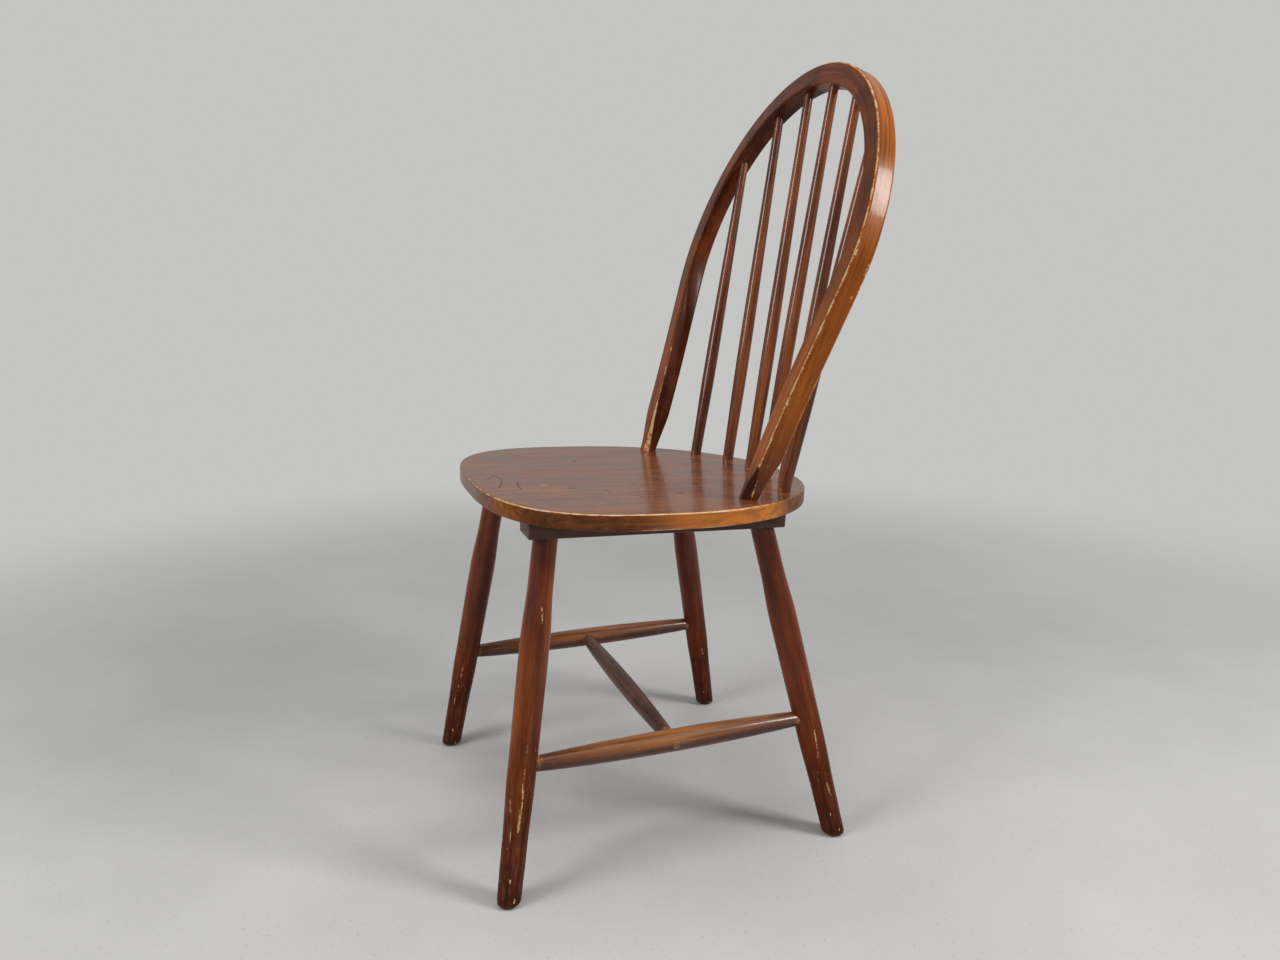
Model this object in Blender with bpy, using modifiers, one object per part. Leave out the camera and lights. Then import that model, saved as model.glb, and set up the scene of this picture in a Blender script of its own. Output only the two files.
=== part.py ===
# Worn hoop-back side chair: flat seat, bent bow, turned legs, spindles and stretchers.
# Metres. X runs across the chair, Y from front to back, Z up. The feet stand on Z = 0.

import math

import bmesh
import bpy
from mathutils import Matrix, Vector

# Clearance between pieces that touch
FIT_GAP = 0.0003

# Seat: a flat slab that falls slightly towards the back. Its own Y = 0 stands at
# SEAT_ORIGIN_Y, so that the whole chair is centred on Y = 0.
SEAT_WIDTH = 0.425
SEAT_DEPTH = 0.413
SEAT_HEIGHT = 0.421
SEAT_SLOPE = math.radians(2.46)
SEAT_THICKNESS = 0.018
SEAT_ORIGIN_Y = -0.03125
SEAT_FRONT_SHARE = 0.4685
SEAT_WIDEST_SHARE = 0.442
SEAT_HALF_WIDTH = SEAT_WIDTH / 2
SEAT_FRONT_Y = -SEAT_DEPTH * SEAT_FRONT_SHARE
SEAT_BACK_Y = SEAT_FRONT_Y + SEAT_DEPTH
SEAT_WIDEST_Y = SEAT_FRONT_Y + SEAT_DEPTH * SEAT_WIDEST_SHARE
SEAT_FRONT_SQUARENESS = 2.9
SEAT_BACK_SQUARENESS = 2.15
SEAT_EDGE_ROUND = 0.0028
SEAT_OUTLINE_POINTS = 72

# Battens under the seat, one each side, that hold the legs
BATTEN_WIDTH = 0.042
BATTEN_THICKNESS = 0.0205
BATTEN_OUTER_X = SEAT_HALF_WIDTH - 0.0645
BATTEN_FRONT_Y = SEAT_FRONT_Y + 0.0375
BATTEN_BACK_Y = SEAT_BACK_Y - 0.0715
BATTEN_EDGE_ROUND = 0.002

# Legs: where each axis meets the batten's underside, and where it meets the floor
LEG_TOP_X = BATTEN_OUTER_X - 0.018
FRONT_LEG_TOP_Y = BATTEN_FRONT_Y + 0.023
REAR_LEG_TOP_Y = BATTEN_BACK_Y - 0.022
LEG_SPLAY_X = 0.064
FRONT_LEG_SPLAY_Y = 0.067
REAR_LEG_SPLAY_Y = 0.074
LEG_FOOT_X = LEG_TOP_X + LEG_SPLAY_X
FRONT_LEG_FOOT_Y = SEAT_ORIGIN_Y + FRONT_LEG_TOP_Y - FRONT_LEG_SPLAY_Y
REAR_LEG_FOOT_Y = SEAT_ORIGIN_Y + REAR_LEG_TOP_Y + REAR_LEG_SPLAY_Y
LEG_NECK_DIAMETER = 0.0272
LEG_SWELL_DIAMETER = 0.0326
LEG_BELLY_DIAMETER = 0.0312
LEG_ANKLE_DIAMETER = 0.0276
LEG_FOOT_DIAMETER = 0.0262
LEG_NECK_LENGTH = 0.052
LEG_NECK_FLARE = 0.0003
LEG_SWELL_FROM_TOP = 0.115
LEG_BELLY_FROM_TOP = 0.262
LEG_ANKLE_FROM_TOP = 0.338
LEG_FOOT_EASING = 0.0025
LEG_TENON_DIAMETER = 0.020
LEG_TENON_LENGTH = 0.015

# Glides nailed under the feet
GLIDE_DIAMETER = 0.020
GLIDE_HEIGHT = 0.0025
GLIDE_RIM = 0.0008
GLIDE_PIN_DIAMETER = 0.003
GLIDE_PIN_LENGTH = 0.009

# Stretchers: one along each side, and one between their middles
STRETCHER_HEIGHT = 0.1452
STRETCHER_TENON_DEPTH = 0.011
STRETCHER_FULLNESS = 0.75
SIDE_STRETCHER_DIAMETER = 0.0255
SIDE_STRETCHER_END_DIAMETER = 0.0168
CROSS_STRETCHER_DIAMETER = 0.0225
CROSS_STRETCHER_END_DIAMETER = 0.0148
CROSS_TENON_DEPTH = 0.008
PEG_DIAMETER = 0.0092
PEG_DEPTH = 0.006
PEG_PROUD = 0.0012

# Bow: a flat hoop that leans back, with a rectangular section
BOW_LEAN = math.radians(19.25)
BOW_FOOT_Y = SEAT_BACK_Y - 0.127
BOW_FOOT_X = SEAT_HALF_WIDTH - 0.0465
BOW_HALF_SPAN = BOW_FOOT_X + 0.0475
BOW_WIDEST_UP = 0.289
BOW_CROWN_UP = 0.5088
BOW_FACE_WIDTH = 0.0252
BOW_DEPTH = 0.0244
BOW_EDGE_ROUND = 0.0035
BOW_END_SCALE = 0.69
BOW_END_TAPER = 0.062
BOW_TENON_DEPTH = 0.013
BOW_FOOT_TWIST = math.radians(5)
BOW_FOOT_HANDLE = Vector((0.0145, 0.150))
BOW_SIDE_HANDLE = 0.045

# Spindles, from the side to the middle: feet across the bow's width and in from the
# seat's back edge, tops let into the bow
SPINDLE_FOOT_SHARES = (0.786, 0.486, 0.132)
SPINDLE_FOOT_INSETS = (0.0675, 0.0408, 0.0352)
SPINDLE_TOP_SHARES = (0.754, 0.4426, 0.1419)
SPINDLE_FOOT_DIAMETER = 0.0144
SPINDLE_SWELL_DIAMETER = 0.0168
SPINDLE_TOP_DIAMETER = 0.0113
SPINDLE_SWELL_SHARE = 0.28
SPINDLE_FOOT_DEPTH = 0.012
SPINDLE_TOP_DEPTH = 0.009

# Facets of the turned pieces
LEG_FACETS = 20
STRETCHER_FACETS = 18
STRETCHER_RINGS = 10
SPINDLE_FACETS = 16
SMALL_FACETS = 12

SIDES = {"right": -1, "left": 1}
UP = Vector((0, 0, 1))


def clear_scene():
    for obj in list(bpy.data.objects):
        bpy.data.objects.remove(obj, do_unlink=True)


def new_collection(name):
    collection = bpy.data.collections.new(name)
    bpy.context.scene.collection.children.link(collection)
    return collection


clear_scene()
PARTS = new_collection("worn_hoop_back_chair")
CUTTERS = new_collection("cutters")


def wood(name, colour, roughness=0.38):
    material = bpy.data.materials.new(name)
    material.use_nodes = True
    shader = material.node_tree.nodes["Principled BSDF"]
    shader.inputs["Base Color"].default_value = (*colour, 1)
    shader.inputs["Roughness"].default_value = roughness
    shader.inputs["Metallic"].default_value = 0.0
    return material


SEAT_WOOD = wood("seat_wood", (0.150, 0.062, 0.036))
BOW_WOOD = wood("bow_wood", (0.140, 0.052, 0.024))
SPINDLE_WOOD = wood("spindle_wood", (0.160, 0.056, 0.028))
LEG_WOOD = wood("leg_wood", (0.120, 0.034, 0.018))
BATTEN_WOOD = wood("batten_wood", (0.060, 0.022, 0.014), 0.55)
STRETCHER_WOOD = wood("stretcher_wood", (0.150, 0.056, 0.034))
PEG_WOOD = wood("peg_wood", (0.110, 0.036, 0.020))
GLIDE_PLASTIC = wood("glide_plastic", (0.030, 0.022, 0.018), 0.6)


def add_object(name, data, frame, collection):
    obj = bpy.data.objects.new(name, data)
    obj.matrix_world = frame
    collection.objects.link(obj)
    return obj


def make_cutter(obj):
    obj.hide_render = True
    obj.display_type = "WIRE"
    return obj


def finish(obj, material):
    obj.data.materials.clear()
    obj.data.materials.append(material)
    if obj.type == "MESH":
        obj.data.shade_smooth()
        obj.data.set_sharp_from_angle(angle=math.radians(35))
    return obj


def baked(obj, name, collection):
    """Replace an object by one mesh of its evaluated shape."""
    bpy.context.view_layer.update()
    evaluated = obj.evaluated_get(bpy.context.evaluated_depsgraph_get())
    mesh = bpy.data.meshes.new_from_object(evaluated)
    shape = bmesh.new()
    shape.from_mesh(mesh)
    bmesh.ops.remove_doubles(shape, verts=shape.verts, dist=0.00001)
    bmesh.ops.recalc_face_normals(shape, faces=shape.faces)
    shape.to_mesh(mesh)
    shape.free()
    frame = obj.matrix_world.copy()
    bpy.data.objects.remove(obj, do_unlink=True)
    return add_object(name, mesh, frame, collection)


def boolean(target, other, operation="DIFFERENCE"):
    modifier = target.modifiers.new(operation.lower(), "BOOLEAN")
    modifier.operation = operation
    modifier.object = other
    return modifier


def axis_frame(start, end):
    """Frame at start whose local Z points at end."""
    direction = (end - start).normalized()
    turn = UP.rotation_difference(direction).to_matrix().to_4x4()
    return Matrix.Translation(start) @ turn


def turned(name, profile, frame, facets, collection=None):
    """Revolve (radius, height) points, listed from the top down, about local Z."""
    mesh = bpy.data.meshes.new(name)
    points = [(radius, 0, height) for radius, height in profile]
    edges = [(index, index + 1) for index in range(len(points) - 1)]
    mesh.from_pydata(points, edges, [])
    obj = add_object(name, mesh, frame, collection or PARTS)
    screw = obj.modifiers.new("turn", "SCREW")
    screw.axis = "Z"
    screw.steps = facets
    screw.render_steps = facets
    screw.use_merge_vertices = True
    screw.merge_threshold = 0.00001
    return obj


def hole(name, radius, low, high, frame, facets=SMALL_FACETS):
    """Round cutter from height low to height high of the given frame."""
    profile = [(0, high), (radius, high), (radius, low), (0, low)]
    return make_cutter(turned(name, profile, frame, facets, CUTTERS))


def eased(share):
    return share * share * (3 - 2 * share)


def smooth_profile(stations, steps):
    """Radius and distance pairs that blend smoothly between the given stations."""
    profile = []
    for (radius_a, along_a), (radius_b, along_b) in zip(stations, stations[1:]):
        for step in range(steps):
            share = step / steps
            radius = radius_a + (radius_b - radius_a) * eased(share)
            profile.append((radius, along_a + (along_b - along_a) * share))
    profile.append(stations[-1])
    return profile


# Frames that the pieces share
SEAT_FRAME = (
    Matrix.Translation((0, SEAT_ORIGIN_Y, SEAT_HEIGHT))
    @ Matrix.Rotation(-SEAT_SLOPE, 4, "X")
)
BATTEN_TOP = -SEAT_THICKNESS - FIT_GAP
BATTEN_BOTTOM = BATTEN_TOP - BATTEN_THICKNESS
BOW_FRAME = (
    Matrix.Translation(SEAT_FRAME @ Vector((0, BOW_FOOT_Y, 0)))
    @ Matrix.Rotation(math.pi / 2 - BOW_LEAN, 4, "X")
)


# Seat

def seat_outline_point(turn):
    """Point of the outline at an angle about the widest line, 0 being the left side."""
    across = math.cos(turn)
    along = math.sin(turn)
    if along < 0:
        reach = SEAT_WIDEST_Y - SEAT_FRONT_Y
        power = SEAT_FRONT_SQUARENESS
    else:
        reach = SEAT_BACK_Y - SEAT_WIDEST_Y
        power = SEAT_BACK_SQUARENESS
    size = abs(across / SEAT_HALF_WIDTH) ** power + abs(along / reach) ** power
    distance = size ** (-1 / power)
    return Vector((across * distance, SEAT_WIDEST_Y + along * distance, 0))


def seat_slab():
    curve = bpy.data.curves.new("seat_outline", "CURVE")
    curve.dimensions = "2D"
    curve.fill_mode = "BOTH"
    curve.extrude = SEAT_THICKNESS / 2
    spline = curve.splines.new("POLY")
    spline.points.add(SEAT_OUTLINE_POINTS - 1)
    for index, point in enumerate(spline.points):
        place = seat_outline_point(2 * math.pi * index / SEAT_OUTLINE_POINTS)
        point.co = (place.x, place.y, 0, 1)
    spline.use_cyclic_u = True
    frame = SEAT_FRAME @ Matrix.Translation((0, 0, -SEAT_THICKNESS / 2))
    slab = baked(add_object("seat_outline", curve, frame, PARTS), "seat", PARTS)
    bevel = slab.modifiers.new("edge_round", "BEVEL")
    bevel.width = SEAT_EDGE_ROUND
    bevel.segments = 2
    bevel.limit_method = "ANGLE"
    bevel.angle_limit = math.radians(50)
    return finish(slab, SEAT_WOOD)


# Battens

def batten(side):
    sign = SIDES[side]
    bpy.ops.mesh.primitive_cube_add(size=1)
    bar = bpy.context.object
    bar.name = f"batten_{side}"
    size = Vector((BATTEN_WIDTH, BATTEN_BACK_Y - BATTEN_FRONT_Y, BATTEN_THICKNESS))
    bar.data.transform(Matrix.Diagonal((*size, 1)))
    centre = Vector((
        sign * (BATTEN_OUTER_X - BATTEN_WIDTH / 2),
        (BATTEN_FRONT_Y + BATTEN_BACK_Y) / 2,
        (BATTEN_TOP + BATTEN_BOTTOM) / 2,
    ))
    bar.matrix_world = SEAT_FRAME @ Matrix.Translation(centre)
    for owner in list(bar.users_collection):
        owner.objects.unlink(bar)
    PARTS.objects.link(bar)
    bevel = bar.modifiers.new("edge_round", "BEVEL")
    bevel.width = BATTEN_EDGE_ROUND
    bevel.segments = 2
    return finish(bar, BATTEN_WOOD)


# Legs

def leg_ends(side, end):
    """Foot on the floor and top at the batten's underside, both on the leg's axis."""
    sign = SIDES[side]
    top_y = FRONT_LEG_TOP_Y if end == "front" else REAR_LEG_TOP_Y
    foot_y = FRONT_LEG_FOOT_Y if end == "front" else REAR_LEG_FOOT_Y
    top = SEAT_FRAME @ Vector((sign * LEG_TOP_X, top_y, BATTEN_BOTTOM))
    return Vector((sign * LEG_FOOT_X, foot_y, 0)), top


def block(name, frame, size, centre):
    """Box cutter of the given size and centre in a frame."""
    bpy.ops.mesh.primitive_cube_add(size=1)
    box = bpy.context.object
    box.name = name
    box.data.transform(Matrix.Translation(centre) @ Matrix.Diagonal((*size, 1)))
    box.matrix_world = frame
    for owner in list(box.users_collection):
        owner.objects.unlink(box)
    CUTTERS.objects.link(box)
    return make_cutter(box)


def ease_foot(leg):
    """Round the rim of the level foot."""
    shape = bmesh.new()
    shape.from_mesh(leg.data)
    turn = leg.matrix_world.to_3x3()
    rim = []
    for edge in shape.edges:
        level = [(turn @ face.normal).z < -0.999 for face in edge.link_faces]
        if level.count(True) == 1:
            rim.append(edge)
    bmesh.ops.bevel(
        shape, geom=rim, offset=LEG_FOOT_EASING, segments=2, profile=0.5, affect="EDGES"
    )
    shape.to_mesh(leg.data)
    shape.free()


def leg(side, end):
    name = f"leg_{end}_{side}"
    foot, top = leg_ends(side, end)
    length = (top - foot).length
    overrun = LEG_SWELL_DIAMETER
    stations = [
        (LEG_NECK_DIAMETER / 2, length),
        (LEG_NECK_DIAMETER / 2 + LEG_NECK_FLARE, length - LEG_NECK_LENGTH),
        (LEG_SWELL_DIAMETER / 2, length - LEG_SWELL_FROM_TOP),
        (LEG_BELLY_DIAMETER / 2, length - LEG_BELLY_FROM_TOP),
        (LEG_ANKLE_DIAMETER / 2, length - LEG_ANKLE_FROM_TOP),
        (LEG_FOOT_DIAMETER / 2, 0),
    ]
    profile = [(0, length + overrun), (LEG_NECK_DIAMETER / 2, length + overrun)]
    profile += smooth_profile(stations, 3)
    profile += [(LEG_FOOT_DIAMETER / 2, -overrun), (0, -overrun)]
    frame = axis_frame(foot, top)
    rough = turned(name + "_turning", profile, frame, LEG_FACETS)
    floor_size = Vector((0.2, 0.2, 0.1))
    floor_centre = Vector((foot.x, foot.y, GLIDE_HEIGHT + FIT_GAP - floor_size.z / 2))
    floor = block(name + "_floor", Matrix.Identity(4), floor_size, floor_centre)
    boolean(rough, floor)
    shoulder_size = Vector((0.1, 0.1, 0.1))
    shoulder_centre = Vector((0, 0, BATTEN_BOTTOM - FIT_GAP + shoulder_size.z / 2))
    local_top = SEAT_FRAME.inverted() @ top
    shoulder_centre.x = local_top.x
    shoulder_centre.y = local_top.y
    shoulder = block(name + "_shoulder", SEAT_FRAME, shoulder_size, shoulder_centre)
    boolean(rough, shoulder)
    tenon_radius = LEG_TENON_DIAMETER / 2
    tenon = hole(
        name + "_tenon", tenon_radius, length - LEG_NECK_LENGTH / 2,
        length + LEG_TENON_LENGTH, frame, LEG_FACETS
    )
    boolean(rough, tenon, "UNION")
    post = baked(rough, name, PARTS)
    for used in (floor, shoulder, tenon):
        bpy.data.objects.remove(used, do_unlink=True)
    ease_foot(post)
    mortise = hole(
        name + "_mortise", tenon_radius + FIT_GAP, length - LEG_TENON_LENGTH,
        length + LEG_TENON_LENGTH + FIT_GAP, frame, LEG_FACETS
    )
    return finish(post, LEG_WOOD), mortise, frame


def glide(side, end):
    foot, _ = leg_ends(side, end)
    radius = GLIDE_DIAMETER / 2
    pin = GLIDE_PIN_DIAMETER / 2
    profile = [
        (0, GLIDE_HEIGHT + GLIDE_PIN_LENGTH),
        (pin, GLIDE_HEIGHT + GLIDE_PIN_LENGTH - pin),
        (pin, GLIDE_HEIGHT),
        (radius, GLIDE_HEIGHT),
        (radius, GLIDE_RIM),
        (radius - GLIDE_RIM, 0),
        (0, 0),
    ]
    frame = Matrix.Translation(foot)
    disc = turned(f"glide_{end}_{side}", profile, frame, SMALL_FACETS + 4)
    bore = hole(
        f"glide_bore_{end}_{side}", pin + FIT_GAP, 0,
        GLIDE_HEIGHT + GLIDE_PIN_LENGTH + FIT_GAP, frame
    )
    return finish(disc, GLIDE_PLASTIC), bore


# Stretchers

def leg_axis_at(side, end, height):
    foot, top = leg_ends(side, end)
    return foot.lerp(top, height / top.z)


def leg_radius_at_stretcher(side, end):
    """The leg's radius where the stretcher meets it, between the belly and the swell."""
    foot, top = leg_ends(side, end)
    along = (top - leg_axis_at(side, end, STRETCHER_HEIGHT)).length
    share = (along - LEG_SWELL_FROM_TOP) / (LEG_BELLY_FROM_TOP - LEG_SWELL_FROM_TOP)
    blend = eased(min(max(share, 0), 1))
    return (LEG_SWELL_DIAMETER + (LEG_BELLY_DIAMETER - LEG_SWELL_DIAMETER) * blend) / 2


def spindle_shaped(name, start, end, middle, tip, sink_start, sink_end):
    """A turned rail, thick in the middle, whose tips run past start and end."""
    length = (end - start).length
    full = [(tip / 2, length + sink_end), (tip / 2, length)]
    body = []
    for index in range(1, STRETCHER_RINGS):
        share = index / STRETCHER_RINGS
        swell = math.sin(math.pi * share) ** STRETCHER_FULLNESS
        body.append(((tip + (middle - tip) * swell) / 2, length * (1 - share)))
    profile = [(0, length + sink_end)] + full + body + [(tip / 2, 0)]
    profile += [(tip / 2, -sink_start), (0, -sink_start)]
    frame = axis_frame(start, end)
    return turned(name, profile, frame, STRETCHER_FACETS), frame, length


def side_stretcher(side):
    front = leg_axis_at(side, "front", STRETCHER_HEIGHT)
    rear = leg_axis_at(side, "rear", STRETCHER_HEIGHT)
    run = (rear - front).normalized()
    front_radius = leg_radius_at_stretcher(side, "front")
    rear_radius = leg_radius_at_stretcher(side, "rear")
    start = front + run * front_radius
    end = rear - run * rear_radius
    rail, frame, length = spindle_shaped(
        f"side_stretcher_{side}", start, end, SIDE_STRETCHER_DIAMETER,
        SIDE_STRETCHER_END_DIAMETER, STRETCHER_TENON_DEPTH, STRETCHER_TENON_DEPTH
    )
    reach = STRETCHER_TENON_DEPTH + FIT_GAP
    radius = SIDE_STRETCHER_END_DIAMETER / 2 + FIT_GAP
    overrun = LEG_SWELL_DIAMETER
    front_hole = hole(
        f"stretcher_hole_front_{side}", radius, -reach, overrun / 2, frame, STRETCHER_FACETS
    )
    rear_hole = hole(
        f"stretcher_hole_rear_{side}", radius, length - overrun / 2, length + reach, frame,
        STRETCHER_FACETS
    )
    return finish(rail, STRETCHER_WOOD), front_hole, rear_hole


def stretcher_middle(side):
    front = leg_axis_at(side, "front", STRETCHER_HEIGHT)
    rear = leg_axis_at(side, "rear", STRETCHER_HEIGHT)
    return (front + rear) / 2


def cross_stretcher():
    right = stretcher_middle("right")
    left = stretcher_middle("left")
    run = (left - right).normalized()
    inner = SIDE_STRETCHER_DIAMETER / 2
    start = right + run * inner
    end = left - run * inner
    rail, frame, length = spindle_shaped(
        "cross_stretcher", start, end, CROSS_STRETCHER_DIAMETER,
        CROSS_STRETCHER_END_DIAMETER, CROSS_TENON_DEPTH, CROSS_TENON_DEPTH
    )
    reach = CROSS_TENON_DEPTH + FIT_GAP
    radius = CROSS_STRETCHER_END_DIAMETER / 2 + FIT_GAP
    holes = {
        "right": hole("cross_hole_right", radius, -reach, inner, frame, STRETCHER_FACETS),
        "left": hole(
            "cross_hole_left", radius, length - inner, length + reach, frame, STRETCHER_FACETS
        ),
    }
    return finish(rail, STRETCHER_WOOD), holes


def peg(side):
    """Domed plug on the outside of a side stretcher, in line with the cross stretcher."""
    middle = stretcher_middle(side)
    outward = Vector((SIDES[side], 0, 0))
    surface = SIDE_STRETCHER_DIAMETER / 2
    frame = axis_frame(middle, middle + outward)
    radius = PEG_DIAMETER / 2
    profile = [
        (0, surface + PEG_PROUD),
        (radius * 0.6, surface + PEG_PROUD * 0.8),
        (radius, surface),
        (radius, surface - PEG_DEPTH),
        (0, surface - PEG_DEPTH),
    ]
    plug = turned(f"peg_{side}", profile, frame, SMALL_FACETS + 4)
    bore = hole(
        f"peg_bore_{side}", radius + FIT_GAP, surface - PEG_DEPTH - FIT_GAP,
        surface * 2, frame, SMALL_FACETS + 4
    )
    return finish(plug, PEG_WOOD), bore


# Bow

def cubic(points, share):
    rest = 1 - share
    weights = (rest ** 3, 3 * rest ** 2 * share, 3 * rest * share ** 2, share ** 3)
    return sum((point * weight for point, weight in zip(points, weights)), Vector((0, 0)))


def crown_height(across):
    """Height of the bow's centreline above its foot, on the round top."""
    share = across / BOW_HALF_SPAN
    return BOW_WIDEST_UP + (BOW_CROWN_UP - BOW_WIDEST_UP) * math.sqrt(1 - share * share)


def bow_half_line():
    """Centreline from the tenon's end in the seat to the crown, in the bow's own plane."""
    foot = Vector((BOW_FOOT_X, 0))
    widest = Vector((BOW_HALF_SPAN, BOW_WIDEST_UP))
    side = (foot, foot + BOW_FOOT_HANDLE, widest - Vector((0, BOW_SIDE_HANDLE)), widest)
    start = foot - BOW_FOOT_HANDLE.normalized() * BOW_TENON_DEPTH
    line = [start, foot]
    side_steps = 14
    line += [cubic(side, step / side_steps) for step in range(1, side_steps)]
    crown_steps = 14
    for step in range(crown_steps + 1):
        turn = math.pi / 2 * step / crown_steps
        across = BOW_HALF_SPAN * math.cos(turn)
        rise = (BOW_CROWN_UP - BOW_WIDEST_UP) * math.sin(turn)
        line.append(Vector((across, BOW_WIDEST_UP + rise)))
    return line


def bow_section(grow):
    """Rounded rectangle: local X across the hoop's face, local Y through its depth."""
    curve = bpy.data.curves.new("bow_section", "CURVE")
    curve.dimensions = "2D"
    curve.fill_mode = "NONE"
    half_x = BOW_DEPTH / 2 + grow
    half_y = BOW_FACE_WIDTH / 2 + grow
    corner = BOW_EDGE_ROUND
    points = []
    for quarter in range(4):
        centre_x = (half_x - corner) * (1 if quarter in (0, 3) else -1)
        centre_y = (half_y - corner) * (1 if quarter in (0, 1) else -1)
        for step in range(3):
            turn = math.pi / 2 * (quarter + step / 2)
            points.append((centre_x + corner * math.cos(turn), centre_y + corner * math.sin(turn)))
    spline = curve.splines.new("POLY")
    spline.points.add(len(points) - 1)
    for point, (x, y) in zip(spline.points, points):
        point.co = (x, y, 0, 1)
    spline.use_cyclic_u = True
    return make_cutter(add_object("bow_section", curve, Matrix.Identity(4), CUTTERS))


def bow_taper(height):
    """Scale of the section at a height up the hoop."""
    share = eased(min(max(height / BOW_END_TAPER, 0), 1))
    return BOW_END_SCALE + (1 - BOW_END_SCALE) * share


def bow_turn(height):
    """How far the front face is turned inwards at a height up the hoop."""
    share = min(max(height / BOW_CROWN_UP, 0), 1)
    return BOW_FOOT_TWIST * (1 - share) ** 2


def bow_solid(name, collection, grow=0.0):
    """Sweep the section along the hoop, tapered and turned inwards towards both ends."""
    half = bow_half_line()
    if grow:
        half[0] = half[0] - BOW_FOOT_HANDLE.normalized() * grow
    line = [(point, 1) for point in half]
    line += [(Vector((-point.x, point.y)), -1) for point in reversed(half[:-1])]
    section = bow_section(grow)
    curve = bpy.data.curves.new(name, "CURVE")
    curve.dimensions = "3D"
    curve.twist_mode = "Z_UP"
    curve.bevel_mode = "OBJECT"
    curve.bevel_object = section
    curve.use_fill_caps = True
    spline = curve.splines.new("POLY")
    spline.points.add(len(line) - 1)
    for point, (place, side) in zip(spline.points, line):
        point.co = (place.x, place.y, 0, 1)
        point.radius = bow_taper(place.y)
        point.tilt = side * bow_turn(place.y)
    hoop = baked(add_object(name, curve, BOW_FRAME, collection), name, collection)
    bpy.data.objects.remove(section, do_unlink=True)
    return hoop


# Spindles

def spindle(number, side, index):
    sign = SIDES[side]
    name = f"spindle_{number}"
    foot_x = BOW_FOOT_X * SPINDLE_FOOT_SHARES[index]
    top_x = BOW_HALF_SPAN * SPINDLE_TOP_SHARES[index]
    foot_y = SEAT_BACK_Y - SPINDLE_FOOT_INSETS[index]
    start = SEAT_FRAME @ Vector((sign * foot_x, foot_y, 0))
    centre = BOW_FRAME @ Vector((sign * top_x, crown_height(top_x), 0))
    run = (centre - start).normalized()
    slope_x = top_x / BOW_HALF_SPAN ** 2
    slope_y = (crown_height(top_x) - BOW_WIDEST_UP) / (BOW_CROWN_UP - BOW_WIDEST_UP) ** 2
    normal = BOW_FRAME.to_3x3() @ Vector((sign * slope_x, slope_y, 0)).normalized()
    short = (BOW_FACE_WIDTH / 2 - SPINDLE_TOP_DEPTH) / run.dot(normal)
    length = (centre - start).length - short
    frame = axis_frame(start, centre)
    swell = length * SPINDLE_SWELL_SHARE
    stations = [
        (SPINDLE_TOP_DIAMETER / 2, length),
        (SPINDLE_SWELL_DIAMETER / 2, swell),
        (SPINDLE_FOOT_DIAMETER / 2, 0),
    ]
    profile = [(0, length)] + smooth_profile(stations, 6)
    profile += [(SPINDLE_FOOT_DIAMETER / 2, -SPINDLE_FOOT_DEPTH), (0, -SPINDLE_FOOT_DEPTH)]
    rod = turned(name, profile, frame, SPINDLE_FACETS)
    foot_hole = hole(
        name + "_foot_hole", SPINDLE_FOOT_DIAMETER / 2 + FIT_GAP,
        -SPINDLE_FOOT_DEPTH - FIT_GAP, SEAT_THICKNESS, frame, SPINDLE_FACETS
    )
    top_hole = hole(
        name + "_top_hole", SPINDLE_TOP_DIAMETER / 2 + 2 * FIT_GAP,
        length - BOW_FACE_WIDTH, length + FIT_GAP, frame, SPINDLE_FACETS
    )
    return finish(rod, SPINDLE_WOOD), foot_hole, top_hole


# Assembly

def build():
    seat = seat_slab()
    bow = bow_solid("bow", PARTS)
    finish(bow, BOW_WOOD)
    boolean(seat, make_cutter(bow_solid("bow_socket", CUTTERS, FIT_GAP)))
    number = 0
    indices = list(range(len(SPINDLE_FOOT_SHARES)))
    order = [("right", index) for index in indices]
    order += [("left", index) for index in reversed(indices)]
    for side, index in order:
        number += 1
        rod, foot_hole, top_hole = spindle(number, side, index)
        boolean(seat, foot_hole)
        boolean(bow, top_hole)
    cross, cross_holes = cross_stretcher()
    for side in SIDES:
        bar = batten(side)
        rail, front_hole, rear_hole = side_stretcher(side)
        plug, plug_bore = peg(side)
        boolean(rail, cross_holes[side])
        boolean(rail, plug_bore)
        for end, rail_hole in (("front", front_hole), ("rear", rear_hole)):
            post, mortise, frame = leg(side, end)
            disc, pin_bore = glide(side, end)
            boolean(bar, mortise)
            boolean(post, rail_hole)
            boolean(post, pin_bore)


build()
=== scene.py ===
import math
from functools import cache

import bmesh
import bpy
from mathutils import Matrix, Vector, noise


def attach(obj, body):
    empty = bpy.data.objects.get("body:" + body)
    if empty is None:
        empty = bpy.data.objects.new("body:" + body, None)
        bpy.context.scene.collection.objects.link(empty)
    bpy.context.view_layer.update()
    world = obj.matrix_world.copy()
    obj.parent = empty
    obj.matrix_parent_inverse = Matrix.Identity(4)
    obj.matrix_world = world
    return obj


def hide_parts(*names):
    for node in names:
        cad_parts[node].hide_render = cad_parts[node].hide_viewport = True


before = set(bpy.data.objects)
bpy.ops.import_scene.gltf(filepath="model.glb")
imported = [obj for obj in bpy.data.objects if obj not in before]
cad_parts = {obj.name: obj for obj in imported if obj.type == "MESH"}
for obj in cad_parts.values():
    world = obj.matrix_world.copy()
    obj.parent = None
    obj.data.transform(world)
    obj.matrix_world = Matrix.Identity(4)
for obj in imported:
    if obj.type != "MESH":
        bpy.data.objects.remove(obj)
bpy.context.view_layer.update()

# Sizes that the solids use, in metres
GAP = 0.0003
SEAT_WIDTH = 0.425
SEAT_DEPTH = 0.413
SEAT_HEIGHT = 0.421
SEAT_SLOPE = math.radians(2.46)
SEAT_THICKNESS = 0.018
SEAT_ORIGIN_Y = -0.03125
SEAT_HALF_WIDTH = SEAT_WIDTH / 2
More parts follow.
